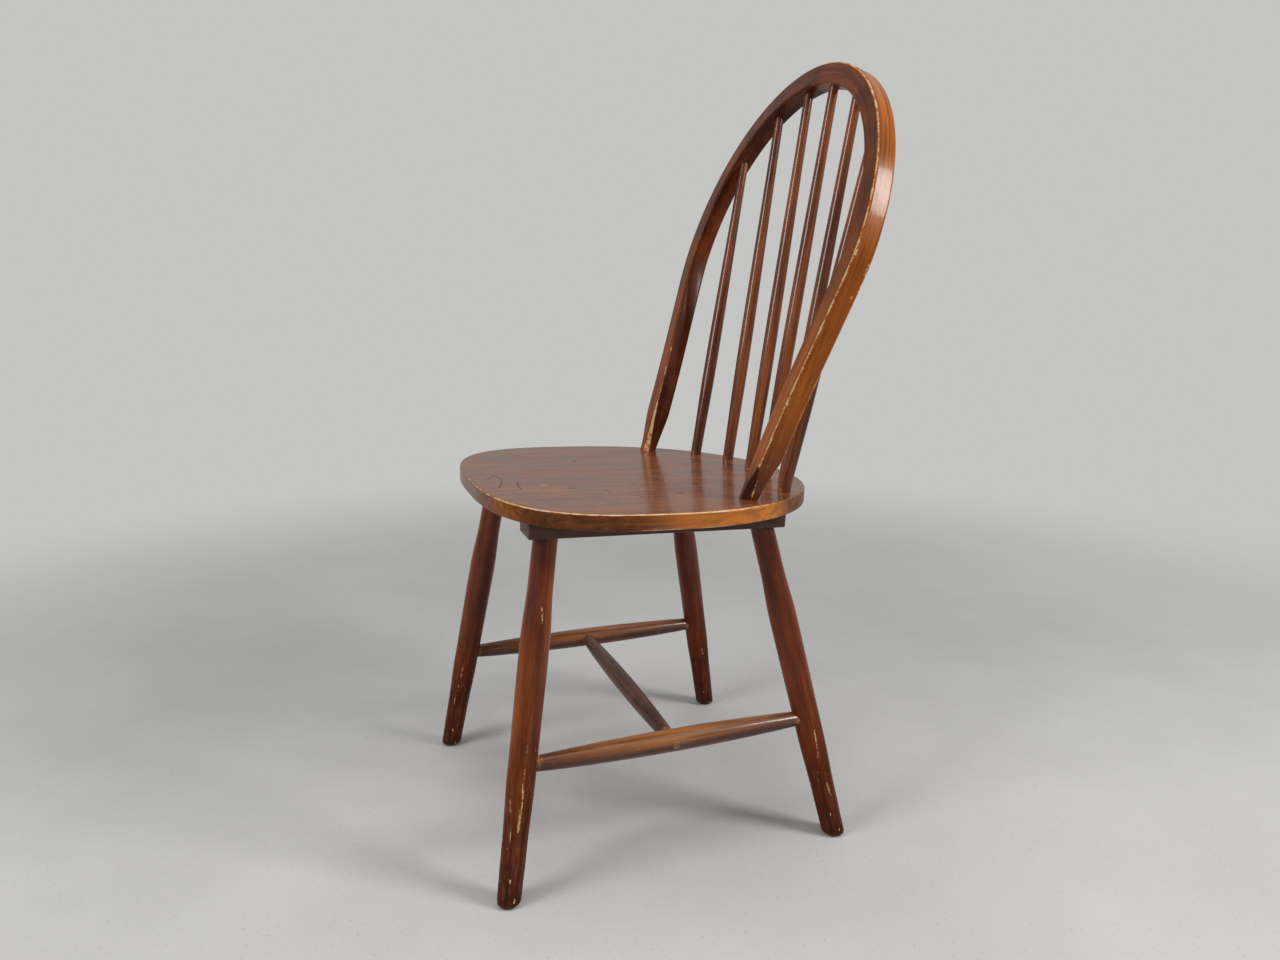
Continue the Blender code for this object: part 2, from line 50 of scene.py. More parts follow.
SEAT_FRONT_Y = -SEAT_DEPTH * 0.4685
SEAT_BACK_Y = SEAT_FRONT_Y + SEAT_DEPTH
SEAT_WIDEST_Y = SEAT_FRONT_Y + SEAT_DEPTH * 0.442
SEAT_FRONT_SQUARENESS = 2.9
SEAT_BACK_SQUARENESS = 2.15
SEAT_TOP_ROUND, SEAT_LOW_ROUND = 0.0024, 0.0018
BATTEN_WIDTH = 0.042
BATTEN_THICKNESS = 0.0205
BATTEN_OUTER_X = SEAT_HALF_WIDTH - 0.0645
BATTEN_FRONT_Y = SEAT_FRONT_Y + 0.0375
BATTEN_BACK_Y = SEAT_BACK_Y - 0.0715
BATTEN_ROUND = 0.0019
LEG_TOP_X = BATTEN_OUTER_X - 0.018
LEG_TOP_Y = {"front": BATTEN_FRONT_Y + 0.023, "rear": BATTEN_BACK_Y - 0.022}
LEG_FOOT_X = LEG_TOP_X + 0.064
LEG_FOOT_Y = {
    "front": SEAT_ORIGIN_Y + LEG_TOP_Y["front"] - 0.067,
    "rear": SEAT_ORIGIN_Y + LEG_TOP_Y["rear"] + 0.074,
}
LEG_NECK, LEG_SWELL, LEG_BELLY, LEG_ANKLE, LEG_FOOT = 0.0272, 0.0326, 0.0312, 0.0276, 0.0262
LEG_NECK_LENGTH, LEG_SWELL_AT, LEG_BELLY_AT, LEG_ANKLE_AT = 0.052, 0.115, 0.262, 0.338
LEG_NECK_GROWTH, LEG_FOOT_EASING = 0.0006, 0.0025
GLIDE_DIAMETER, GLIDE_HEIGHT = 0.020, 0.0025
STRETCHER_HEIGHT = 0.1452
SIDE_RAIL, SIDE_RAIL_TIP, SIDE_RAIL_SINK = 0.0255, 0.0168, 0.011
CROSS_RAIL, CROSS_RAIL_TIP, CROSS_RAIL_SINK = 0.0225, 0.0148, 0.008
PEG_DIAMETER, PEG_PROUD, PEG_DEPTH = 0.0092, 0.0012, 0.006
BOW_LEAN = math.radians(19.25)
BOW_FOOT_Y = SEAT_BACK_Y - 0.127
BOW_FOOT_X = SEAT_HALF_WIDTH - 0.0465
BOW_HALF_SPAN = BOW_FOOT_X + 0.0475
BOW_WIDEST_UP = 0.289
BOW_CROWN_UP = 0.5088
BOW_FACE, BOW_DEPTH = 0.0252, 0.0244
BOW_ROUND = 0.0030
BOW_END_SCALE, BOW_END_TAPER = 0.69, 0.062
BOW_FOOT_TWIST = math.radians(5)
BOW_FOOT_HANDLE = Vector((0.0145, 0.150))
BOW_SIDE_HANDLE = 0.045
BOW_SUNK = 0.010
SPINDLE_FOOT_SHARES = (0.786, 0.486, 0.132)
SPINDLE_FOOT_INSETS = (0.0675, 0.0408, 0.0352)
SPINDLE_TOP_SHARES = (0.754, 0.4426, 0.1419)
SPINDLE_FOOT, SPINDLE_SWELL, SPINDLE_TOP = 0.0144, 0.0168, 0.0113
SPINDLE_SWELL_SHARE = 0.28
SPINDLE_SUNK, SPINDLE_TOP_DEPTH = 0.008, 0.009

# The camera of the photograph
CAMERA_PLACE = Vector((1.1001, -0.40905, 0.6596))
CAMERA_YAW = 1.22336
CAMERA_PITCH = -0.20874
CAMERA_LENS = 26.93
SENSOR_WIDTH = 36.0

SIDES = {"right": -1, "left": 1}
SEAT_FRAME = (
    Matrix.Translation((0, SEAT_ORIGIN_Y, SEAT_HEIGHT)) @ Matrix.Rotation(-SEAT_SLOPE, 4, "X")
)
BATTEN_TOP = -SEAT_THICKNESS - GAP
BATTEN_BOTTOM = BATTEN_TOP - BATTEN_THICKNESS
BOW_FRAME = (
    Matrix.Translation(SEAT_FRAME @ Vector((0, BOW_FOOT_Y, 0)))
    @ Matrix.Rotation(math.pi / 2 - BOW_LEAN, 4, "X")
)


# Materials

# Noise scales across and along the grain, per metre
FIBRE_SCALE = (620, 620, 16)
FIGURE_SCALE = (95, 95, 5.5)
PORE_SCALE = (1700, 1700, 90)
STREAK_SCALE = (330, 330, 34)
CHIP_SCALE = (260, 260, 120)
# Fine rubbed lines: turn about the board's normal, noise scale, where the lines start
HAIRLINES = ((0.5, (1300, 1, 21), 0.66), (-1.05, (1100, 1, 26), 0.67))
HAIRLINE_FADE = 0.06
LINE_WOBBLE = 0.0022
STROKE_CORE = 0.35
BUMP_DEPTH = 0.00022
COAT_ROUGHNESS = 0.11
DULLED_SHINE = 0.2


class Nodes:
    """A node tree, with short calls for the nodes used here."""

    def __init__(self, tree):
        self.tree = tree

    def feed(self, socket, value):
        if isinstance(value, bpy.types.NodeSocket):
            self.tree.links.new(value, socket)
        else:
            socket.default_value = value

    def node(self, kind, inputs, **settings):
        made = self.tree.nodes.new(kind)
        for key, value in settings.items():
            setattr(made, key, value)
        for key, value in inputs.items():
            self.feed(made.inputs[key], value)
        return made

    def attribute(self, name, output="Fac"):
        return self.node("ShaderNodeAttribute", {}, attribute_name=name).outputs[output]

    def calc(self, operation, first, second=0.0, third=0.0, clamp=False):
        return self.node(
            "ShaderNodeMath", {0: first, 1: second, 2: third}, operation=operation,
            use_clamp=clamp
        ).outputs[0]

    def times(self, first, second, clamp=False):
        return self.calc("MULTIPLY", first, second, clamp=clamp)

    def most(self, first, second):
        return self.calc("MAXIMUM", first, second)

    def plus(self, total, *parts):
        """The total with each part (value, weight) added to it."""
        for value, weight in parts:
            total = self.calc("MULTIPLY_ADD", value, weight, total)
        return total

    def vector(self, operation, first, second, output="Vector"):
        return self.node(
            "ShaderNodeVectorMath", {0: first, 1: second}, operation=operation
        ).outputs[output]

    def scaled(self, vector, factor):
        return self.node(
            "ShaderNodeVectorMath", {0: vector, "Scale": factor}, operation="SCALE"
        ).outputs[0]

    def noise(self, place, scale, detail=3.0, roughness=0.5, distortion=0.0, output=0):
        if isinstance(scale, tuple):
            place, scale = self.vector("MULTIPLY", place, scale), 1.0
        return self.node("ShaderNodeTexNoise", {
            "Vector": place, "Scale": scale, "Detail": detail, "Roughness": roughness,
            "Distortion": distortion,
        }).outputs[output]

    def step(self, value, low, high, bottom=0.0, top=1.0):
        return self.node(
            "ShaderNodeMapRange", {0: value, 1: low, 2: high, 3: bottom, 4: top},
            interpolation_type="SMOOTHSTEP"
        ).outputs[0]

    def mix(self, factor, first, second):
        return self.node(
            "ShaderNodeMix", {0: factor, 6: first, 7: second}, data_type="RGBA"
        ).outputs[2]

    def strokes(self, place, rows):
        """How strongly a point lies on any of the lines (start, end, width)."""
        mask = 0.0
        for start, end, width in rows:
            line = self.node("ShaderNodeGroup", {
                "Place": place, "Start": start, "End": end, "Width": width,
            }, node_tree=STROKE)
            mask = self.most(mask, line.outputs[0])
        return mask


class Graph(Nodes):
    """The node tree of a new material."""

    def __init__(self, name):
        self.material = bpy.data.materials.new(name)
        self.material.use_nodes = True
        super().__init__(self.material.node_tree)
        self.shader = self.tree.nodes["Principled BSDF"]

    def surface(self, values):
        for name, value in values.items():
            self.feed(self.shader.inputs[name], value)
        return self.material


def stroke_group():
    """Node group: how strongly a point lies on a short line from Start to End."""
    group = bpy.data.node_groups.new("stroke", "ShaderNodeTree")
    for name, kind in (("Place", "Vector"), ("Start", "Vector"), ("End", "Vector"),
                       ("Width", "Float")):
        group.interface.new_socket(name, in_out="INPUT", socket_type=f"NodeSocket{kind}")
    group.interface.new_socket("Mask", in_out="OUTPUT", socket_type="NodeSocketFloat")
    nodes = Nodes(group)
    given = nodes.node("NodeGroupInput", {}).outputs
    from_start = nodes.vector("SUBTRACT", given["Place"], given["Start"])
    line = nodes.vector("SUBTRACT", given["End"], given["Start"])
    along = nodes.vector("DOT_PRODUCT", from_start, line, "Value")
    square = nodes.vector("DOT_PRODUCT", line, line, "Value")
    foot = nodes.scaled(line, nodes.calc("DIVIDE", along, square, clamp=True))
    distance = nodes.vector("DISTANCE", from_start, foot, "Value")
    core = nodes.times(given["Width"], STROKE_CORE)
    nodes.node("NodeGroupOutput", {0: nodes.step(distance, core, given["Width"], 1.0, 0.0)})
    return group


STROKE = stroke_group()


def colour(red, green, blue):
    return (red, green, blue, 1.0)


BARE_PALE = colour(0.78, 0.59, 0.34)
BARE_DARK = colour(0.50, 0.28, 0.11)
# Dark dirt; the grime darkening also uses it for painted shade
DARK_DIRT_AND_SHADE = colour(0.024, 0.009, 0.005)
RUBBED = colour(0.24, 0.14, 0.085)
RUBBED_LINE = colour(0.30, 0.17, 0.10)
DUST = colour(0.20, 0.17, 0.145)


def varnished(name, dark, light, amber, gloss=0.30, coat=0.25, marks=(), nicks=(),
              scuffs=0.0, hairlines=0.0, dust=0.0, grime=0.0, mottle=0.25, sheen=0.28,
              relief=0.40):
    """Stained and varnished wood with grain, worn edges, scratches and scuffs.

    The mesh carries flow (place in the wood, with the grain along its last value), wear
    (edges), amber (paler stain, partly painted light on the seat's band and the rails' upper
    sides) and a mask of knocks and dirt, which on the seat's band and the bow is painted shade.
    """
    graph = Graph(name)
    dark, light, amber = colour(*dark), colour(*light), colour(*amber)
    flow = graph.attribute("flow", "Vector")
    knocked_and_shaded = graph.attribute("scuff_and_shade")

    fibre = graph.noise(flow, FIBRE_SCALE, detail=4, roughness=0.62)
    figure = graph.noise(flow, FIGURE_SCALE, distortion=1.3)
    blotch = graph.noise(flow, 17, roughness=0.55)
    broad = graph.noise(flow, 75, roughness=0.6)
    speck = graph.noise(flow, 420, detail=2, roughness=0.6)
    pores = graph.noise(flow, PORE_SCALE, detail=1)

    tone = graph.step(graph.plus(-0.16, (figure, 0.75), (fibre, 0.35)), 0.22, 0.62)
    stain = graph.step(blotch, 0.34, 0.66, 1 - mottle, 1 + mottle)
    body = graph.scaled(graph.mix(tone, dark, light), stain)
    pale = graph.times(graph.attribute("amber"), graph.step(figure, 0.32, 0.60, 0.38, 1.0))
    body = graph.mix(pale, body, amber)
    pore = graph.step(pores, 0.62, 0.74, 0.0, 0.45)
    body = graph.mix(pore, body, DARK_DIRT_AND_SHADE)

    # Worn edges: a ragged band of bare wood, with thinned varnish round it. The first
    # number takes the mean of both noises off again.
    ragged = graph.plus(-0.775, (speck, 0.55), (broad, 1.0))
    worn = graph.calc("ADD", graph.attribute("wear"), ragged)
    bare = graph.step(worn, 0.50, 0.66)
    body = graph.mix(graph.step(worn, 0.30, 0.58, 0.0, 0.75), body, amber)

    if scuffs:
        # Knocks: short streaks and chips of bare wood along the grain, in a rubbed haze
        knock = graph.times(knocked_and_shaded, scuffs, clamp=True)
        streak = graph.noise(flow, STREAK_SCALE, roughness=0.62)
        chip = graph.noise(flow, CHIP_SCALE, detail=2)
        streaks = graph.step(graph.plus(streak, (knock, 0.13)), 0.755, 0.81)
        chips = graph.step(graph.plus(chip, (knock, 0.09)), 0.765, 0.80)
        knocks = graph.times(graph.most(streaks, chips), graph.step(knock, 0.0, 0.3))
        bare = graph.most(bare, knocks)
        haze = graph.times(graph.step(streak, 0.46, 0.66), knock)
        body = graph.mix(graph.times(haze, 0.55), body, RUBBED)

    # Single scratches, chips and dents, on lines that wobble a little
    wobble = graph.noise(flow, 260, detail=2, output="Color")
    wobble = graph.vector("SUBTRACT", wobble, (0.5, 0.5, 0.5))
    place = graph.vector("ADD", flow, graph.scaled(wobble, LINE_WOBBLE))
    if marks:
        broken = graph.step(speck, 0.36, 0.52)
        bare = graph.most(bare, graph.times(graph.strokes(place, marks), broken))
    dents = graph.strokes(place, nicks)

    body = graph.mix(bare, body, graph.mix(fibre, BARE_DARK, BARE_PALE))
    if nicks:
        body = graph.mix(graph.times(dents, 0.8), body, DARK_DIRT_AND_SHADE)
    # Grime: darkening by the mesh's mask of knocks and dirt; on the seat's band and the bow it is
    # painted shade
    if grime:
        patchy = graph.step(broad, 0.30, 0.70, grime * 0.6, grime * 1.15)
        covered = graph.step(bare, 0.0, 1.0, 1.0, 0.0)
        body = graph.mix(graph.times(graph.times(knocked_and_shaded, patchy), covered), body, DARK_DIRT_AND_SHADE)

    rough = graph.step(blotch, 0.25, 0.75, gloss - 0.05, gloss + 0.08)
    rough = graph.plus(rough, (speck, 0.05))
    if hairlines:
        # Fine rubbed lines in two directions that dull the varnish and pale it a little
        lines = 0.0
        for angle, scale, start in HAIRLINES:
            turned_flow = graph.node(
                "ShaderNodeVectorRotate", {"Vector": flow, "Angle": angle},
                rotation_type="Y_AXIS"
            ).outputs[0]
            fine = graph.noise(turned_flow, scale, detail=2)
            lines = graph.most(lines, graph.step(fine, start, start + HAIRLINE_FADE))
        lines = graph.times(lines, hairlines)
        rough = graph.plus(rough, (lines, 0.25))
        body = graph.mix(graph.times(lines, 0.13), body, RUBBED_LINE)
    if dust:
        powder = graph.times(graph.step(broad, 0.35, 0.75), dust)
        body = graph.mix(powder, body, DUST)
        rough = graph.plus(rough, (powder, 0.5))
    rough = graph.calc("MULTIPLY_ADD", bare, 0.34, rough, clamp=True)

    height = graph.plus(0.0, (fibre, 0.30), (blotch, 0.5), (bare, -0.55), (pore, -0.5))
    if nicks:
        height = graph.plus(height, (dents, -1.0))
    bump = graph.node(
        "ShaderNodeBump", {"Height": height, "Strength": relief, "Distance": BUMP_DEPTH}
    )
    # Dirty places, places with painted shade and dents shine less
    dull = graph.most(knocked_and_shaded, dents) if nicks else knocked_and_shaded
    shine = {
        socket: graph.step(dull, 0.0, 0.8, level, level * DULLED_SHINE) if grime else level
        for socket, level in (("Coat Weight", coat), ("Specular IOR Level", sheen))
    }
    return graph.surface({
        "Base Color": body, "Roughness": rough, "Normal": bump.outputs[0],
        "Coat Roughness": COAT_ROUGHNESS, **shine,
    })


def plastic(name):
    graph = Graph(name)
    grime = graph.noise(graph.attribute("flow", "Vector"), 240, detail=4, roughness=0.65)
    body = graph.mix(graph.step(grime, 0.35, 0.70), colour(0.018, 0.013, 0.011),
                     colour(0.11, 0.09, 0.075))
    bump = graph.node("ShaderNodeBump", {"Height": grime, "Strength": 0.35, "Distance": 0.0003})
    return graph.surface({
        "Base Color": body, "Roughness": graph.step(grime, 0.3, 0.7, 0.45, 0.75),
        "Normal": bump.outputs[0],
    })


# Mesh helpers

SHARP_ANGLE = math.radians(50)


def eased(share):
    share = min(max(share, 0.0), 1.0)
    return share * share * (3 - 2 * share)


def ranged(value, stations, curve=lambda share: share):
    """Value between the stations (position, amount), in straight lines or on a curve."""
    if value <= stations[0][0]:
        return stations[0][1]
    for (low, first), (high, second) in zip(stations, stations[1:]):
        if value <= high:
            return first + (second - first) * curve((value - low) / (high - low))
    return stations[-1][1]


def polar(radius, turn, height):
    return Vector((radius * math.cos(turn), radius * math.sin(turn), height))


def axis_frame(start, end):
    direction = (end - start).normalized()
    turn = Vector((0, 0, 1)).rotation_difference(direction).to_matrix().to_4x4()
    return Matrix.Translation(start) @ turn


def add_object(name, data):
    obj = bpy.data.objects.new(name, data)
    bpy.context.scene.collection.objects.link(obj)
    return obj


def piece(name, rings, material, place, nodes):
    """Skin rings of (point, flow, wear, amber, scuffs and painted shade), and close both ends
    with a fan.
    """
    count = len(rings[0])
    mesh = bpy.data.meshes.new(name)
    verts = [place @ spot[0] for ring in rings for spot in ring]
    faces = []
    for level in range(len(rings) - 1):
        for index in range(count):
            after = (index + 1) % count
            low = level * count
            high = low + count
            faces.append((low + index, low + after, high + after, high + index))
    extra = []
    for level in (0, len(rings) - 1):
        ring = rings[level]
        centre = sum((spot[0] for spot in ring), Vector()) / count
        middle = sum((Vector(spot[1]) for spot in ring), Vector()) / count
        extra.append((centre, middle, 0.0, ring[0][3], ring[0][4]))
        base = level * count
        for index in range(count):
            faces.append((base + index, base + (index + 1) % count, len(verts)))
        verts.append(place @ centre)
    mesh.from_pydata(verts, [], faces)
    shape = bmesh.new()
    shape.from_mesh(mesh)
    bmesh.ops.recalc_face_normals(shape, faces=shape.faces)
    shape.to_mesh(mesh)
    shape.free()
    spots = [spot for ring in rings for spot in ring] + extra
    flow = mesh.attributes.new("flow", "FLOAT_VECTOR", "POINT")
    flow.data.foreach_set("vector", [value for spot in spots for value in spot[1]])
    for slot_index, label in ((2, "wear"), (3, "amber"), (4, "scuff_and_shade")):
        layer = mesh.attributes.new(label, "FLOAT", "POINT")
        layer.data.foreach_set("value", [spot[slot_index] for spot in spots])
    mesh.shade_smooth()
    mesh.set_sharp_from_angle(angle=SHARP_ANGLE)
    mesh.materials.append(material)
    obj = add_object(name, mesh)
    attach(obj, "root")
    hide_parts(*nodes)
    return obj


# Seat

SEAT_POINTS = 480
ROUND_STEPS = 6
# Just over a quarter turn, so that the whole top round stays below a side share of 1
ROUND_SPAN = 1.571
# The worn rim is dented this deep, and its top sinks by this share of the dent
RIM_DENT, RIM_SINK = 0.0006, 0.8

# Wear, amber (paler stain, partly painted light) and painted shade round the seat: (degrees from
# its left side towards the back, amount)
TOP_WEAR = (
    (-180, 0.42), (-140, 0.30), (-110, 0.30), (-95, 0.42), (-75, 0.48), (-60, 0.54),
    (-46, 0.72), (-28, 0.70), (-10, 0.70), (5, 0.84), (14, 0.80), (27, 0.60), (38, 0.36),
    (56, 0.30), (90, 0.28), (120, 0.34), (150, 0.50), (180, 0.42),
)
LOW_WEAR = (
    (-180, 0.30), (-60, 0.30), (-14, 0.40), (-8, 0.84), (0, 0.74), (4, 0.40), (8, 0.88),
    (14, 0.80), (20, 0.42), (60, 0.30), (150, 0.45), (180, 0.30),
)
BAND_STAIN_AND_LIGHT = (
    (-180, 0.35), (-120, 0.10), (-95, 0.05), (-62, 0.10), (-54, 0.60), (-48, 0.45),
    (-42, 0.06), (-18, 0.03), (-8, 0.35), (2, 0.80), (14, 0.95), (30, 1.0), (36, 0.75),
    (43, 0.12), (80, 0.06), (120, 0.30), (150, 0.75), (180, 0.35),
)
BAND_SHADE = (
    (-115, 0.0), (-100, 0.28), (-64, 0.38), (-50, 0.62), (-14, 0.60), (-4, 0.12), (2, 0.0),
    (34, 0.0), (42, 0.60), (62, 0.80), (95, 0.75), (120, 0.0),
)


def seat_outline(turn):
    across = math.cos(turn)
    along = math.sin(turn)
    if along < 0:
        reach = SEAT_WIDEST_Y - SEAT_FRONT_Y
        power = SEAT_FRONT_SQUARENESS
    else:
        reach = SEAT_BACK_Y - SEAT_WIDEST_Y
        power = SEAT_BACK_SQUARENESS
    size = abs(across / SEAT_HALF_WIDTH) ** power + abs(along / reach) ** power
    distance = size ** (-1 / power)
    return Vector((across * distance, SEAT_WIDEST_Y + along * distance, 0))


def seat_section():
    """Rings from the top's centre out, down the edge and back below.

    Each is (kind, amount, height, top wear, low wear, side share). The kind says whether
    the amount is a share of the outline or an inset from it.
    """
    rings = [("share", share, 0.0, 0.0, 0.0, 0.0)
             for share in (0.04, 0.2, 0.4, 0.6, 0.75, 0.86)]
    rings += [("inset", inset, 0.0, worn, 0.0, 0.0) for inset, worn in (
        (0.012, 0.0), (0.007, 0.0), (0.0045, 0.04), (0.0034, 0.12), (0.0028, 0.30))]
    turns = [math.pi / 2 * step / ROUND_STEPS for step in range(ROUND_STEPS + 1)]
    for turn in turns:
        inset = SEAT_TOP_ROUND * (1 - math.sin(turn))
        drop = SEAT_TOP_ROUND * (1 - math.cos(turn))
        worn = 0.26 + 0.94 * math.sin(2 * turn) ** 3
        rings.append(("inset", inset, -drop, worn, 0.0, turn / ROUND_SPAN))
    side = SEAT_THICKNESS - SEAT_TOP_ROUND - SEAT_LOW_ROUND
    for share, worn in ((0.06, 0.14), (0.16, 0.0), (0.5, 0.0), (0.8, 0.0), (0.93, 0.0)):
        low = 0.35 if share > 0.9 else 0.0
        rings.append(("inset", 0.0, -SEAT_TOP_ROUND - side * share, worn, low, 1.0))
    for turn in turns:
        inset = SEAT_LOW_ROUND * (1 - math.cos(turn))
        height = -SEAT_THICKNESS + SEAT_LOW_ROUND * (1 - math.sin(turn))
        rings.append(("inset", inset, height, 0.0, 0.35 + 0.6 * math.sin(2 * turn), 1.0))
    rings += [("inset", inset, -SEAT_THICKNESS, 0.0, worn, 0.6) for inset, worn in (
        (0.0028, 0.3), (0.006, 0.0), (0.012, 0.0))]
    rings += [("share", share, -SEAT_THICKNESS, 0.0, 0.0, 0.3)
              for share in (0.8, 0.5, 0.2, 0.04)]
    return rings


def build_seat(material):
    centre = Vector((0, SEAT_WIDEST_Y, 0))
    outline = [seat_outline(2 * math.pi * index / SEAT_POINTS) for index in range(SEAT_POINTS)]
    inward = []
    for index in range(SEAT_POINTS):
        run = outline[(index + 1) % SEAT_POINTS] - outline[index - 1]
        inward.append(Vector((-run.y, run.x, 0)).normalized())
    rings = []
    for kind, amount, height, top_worn, low_worn, side_share in seat_section():
        ring = []
        for index, edge in enumerate(outline):
            degrees = (360 * index / SEAT_POINTS + 180) % 360 - 180
            if kind == "share":
                spot = centre + (edge - centre) * amount
            else:
                spot = edge + inward[index] * amount
            worn = max(top_worn * ranged(degrees, TOP_WEAR),
                       low_worn * ranged(degrees, LOW_WEAR))
            rub = noise.noise(Vector((edge.x * 90, edge.y * 90, height * 200)))
            dent = max(rub, 0) * RIM_DENT * worn * (1 if side_share < 1 else 0.5)
            spot = spot + inward[index] * dent
            spot.z = height - (dent * RIM_SINK if top_worn > 0 else 0)
            # The band's amber is partly painted light, and its dark share is painted shade
            amber = ranged(degrees, BAND_STAIN_AND_LIGHT) * side_share
            dark = ranged(degrees, BAND_SHADE) * side_share
            ring.append((spot, (spot.x, spot.z, spot.y), worn, amber, dark))
        rings.append(ring)
    return piece("seat_top", rings, material, SEAT_FRAME, ["seat"])


# Turned pieces

EASING_STEPS = 5
LEG_RINGS, RAIL_RINGS, SPINDLE_RINGS = 90, 84, 80
LEG_SEGMENTS, RAIL_SEGMENTS, LATHE_SEGMENTS, SPINDLE_SEGMENTS = 64, 48, 40, 36
LATHE_DOME_STEPS = 7


def turned(name, radius_at, low_at, high_at, levels, material, place, nodes,
           segments, wear_at, amber_at, scuff_at, foot_easing=0.0):
    """Revolved piece whose ends lie at low_at and high_at, which give a height by angle."""
    rings = []
    easing_steps = EASING_STEPS if foot_easing else 0
    for level in range(-easing_steps, levels + 1):
        ring = []
        for index in range(segments):
            turn = 2 * math.pi * index / segments
            low = low_at(turn)
            high = high_at(turn)
            if level < 0:
                quarter = math.pi / 2 * (level + easing_steps) / easing_steps
                height = low + foot_easing * (1 - math.cos(quarter))
                radius = radius_at(height) - foot_easing * (1 - math.sin(quarter))
            else:
                height = low + foot_easing + (high - low - foot_easing) * level / levels
                radius = radius_at(height)
            spot = polar(radius, turn, height)
            worn = wear_at(height - low, high - height)
            ring.append((spot, tuple(spot), worn, amber_at(turn, height), scuff_at(height)))
        rings.append(ring)
    return piece(name, rings, material, place, nodes)


def leg_ends(side, end):
    top = SEAT_FRAME @ Vector((SIDES[side] * LEG_TOP_X, LEG_TOP_Y[end], BATTEN_BOTTOM))
    return Vector((SIDES[side] * LEG_FOOT_X, LEG_FOOT_Y[end], 0)), top


def leg_radius(from_top, length):
    stations = (
        (0, LEG_NECK), (LEG_NECK_LENGTH, LEG_NECK + LEG_NECK_GROWTH),
        (LEG_SWELL_AT, LEG_SWELL), (LEG_BELLY_AT, LEG_BELLY), (LEG_ANKLE_AT, LEG_ANKLE),
        (length, LEG_FOOT),
    )
    return ranged(from_top, stations, eased) / 2


LEG_FOOT_WEAR, LEG_FOOT_WEAR_REACH = 0.50, 0.006
# Amounts by height along the leg, from its foot
LEG_AMBER = ((0.03, 0.15), (0.12, 0.60), (0.20, 1.0), (0.28, 1.0), (0.37, 1.30))
LEG_SCUFF = (
    (0.0, 1.9), (0.02, 1.5), (0.06, 1.0), (0.10, 0.9), (0.19, 0.35), (0.30, 0.12), (0.40, 0.0),
)


def build_leg(side, end, material, orange):
    foot, top = leg_ends(side, end)
    length = (top - foot).length
    place = axis_frame(foot, top)
    seat_inverse = SEAT_FRAME.inverted()
    seed = Vector((SIDES[side] * 3.1, 7.7 if end == "front" else 1.3, 0))

    def radius_at(height):
        return leg_radius(length - height, length)

    def meet(turn, height, distance_of):
        """Height at which the side of the leg reaches a plane, in a few steps."""
        for _ in range(5):
            radius = radius_at(height)
            height -= distance_of(place @ polar(radius, turn, height))
        return height

    @cache
    def low_at(turn):
        return meet(turn, 0.0, lambda spot: spot.z - GLIDE_HEIGHT - GAP)

    @cache
    def high_at(turn):
        return meet(turn, length, lambda spot: (seat_inverse @ spot).z - BATTEN_BOTTOM + GAP)

    def wear_at(above_foot, _):
        return max(LEG_FOOT_WEAR * (1 - above_foot / LEG_FOOT_WEAR_REACH), 0.0)

    def amber_at(turn, height):
        cloud = noise.noise(Vector((turn * 0.6, height * 9, 0)) + seed)
        return orange * min(max(0.50 + cloud * 1.1, 0.0), 1.0) * ranged(height, LEG_AMBER)

    return turned(
        f"post_{end}_{side}", radius_at, low_at, high_at, LEG_RINGS, material, place,
        [f"leg_{end}_{side}"], LEG_SEGMENTS, wear_at, amber_at,
        lambda height: ranged(height, LEG_SCUFF), LEG_FOOT_EASING
    )


def leg_at_rail(side, end):
    foot, top = leg_ends(side, end)
    return foot.lerp(top, STRETCHER_HEIGHT / top.z)


def leg_radius_at_rail(side, end):
    foot, top = leg_ends(side, end)
    along = (top - leg_at_rail(side, end)).length
    return leg_radius(along, (top - foot).length)


RAIL_AMBER = {"right": 1.05, "left": 1.35, "cross": 0.15}
RAIL_WEAR, RAIL_END_WEAR, RAIL_END_WEAR_REACH = 0.10, 0.34, 0.012
RAIL_SCUFF = 0.35


def rail(label, node, start, end, middle, tip, sink, material):
    length = (end - start).length
    place = axis_frame(start, end)

    def radius_at(height):
        share = height / length
        if share <= 0 or share >= 1:
            return tip / 2
        return (tip + (middle - tip) * math.sin(math.pi * share) ** 0.75) / 2

    def wear_at(above, below):
        near = abs(min(above, below) - sink) / RAIL_END_WEAR_REACH
        return RAIL_END_WEAR * max(1 - near, 0.0) + RAIL_WEAR

    def amber_at(turn, height):
        # The upper side is paler, partly rubbed by feet and partly painted highlight; the
        # underside is darker with painted shade, and the ends are darker towards the legs
        upward = (place.to_3x3() @ Vector((math.cos(turn), math.sin(turn), 0))).z
        rubbed_and_lit = 0.14 + 1.06 * eased(upward + 0.20)
        ends = 0.15 + 0.85 * eased(min(height, length - height) / 0.12)
        cloud = 0.62 + 0.5 * noise.noise(Vector((turn * 0.5, height * 14, length * 50)))
        return min(RAIL_AMBER[label] * rubbed_and_lit * ends * cloud, 1.0)

    return turned(
        f"rail_{label}", radius_at, lambda turn: -sink, lambda turn: length + sink,
        RAIL_RINGS, material, place, [node], RAIL_SEGMENTS, wear_at,
        amber_at, lambda height: RAIL_SCUFF
    )


def rail_middle(side):
    return (leg_at_rail(side, "front") + leg_at_rail(side, "rear")) / 2


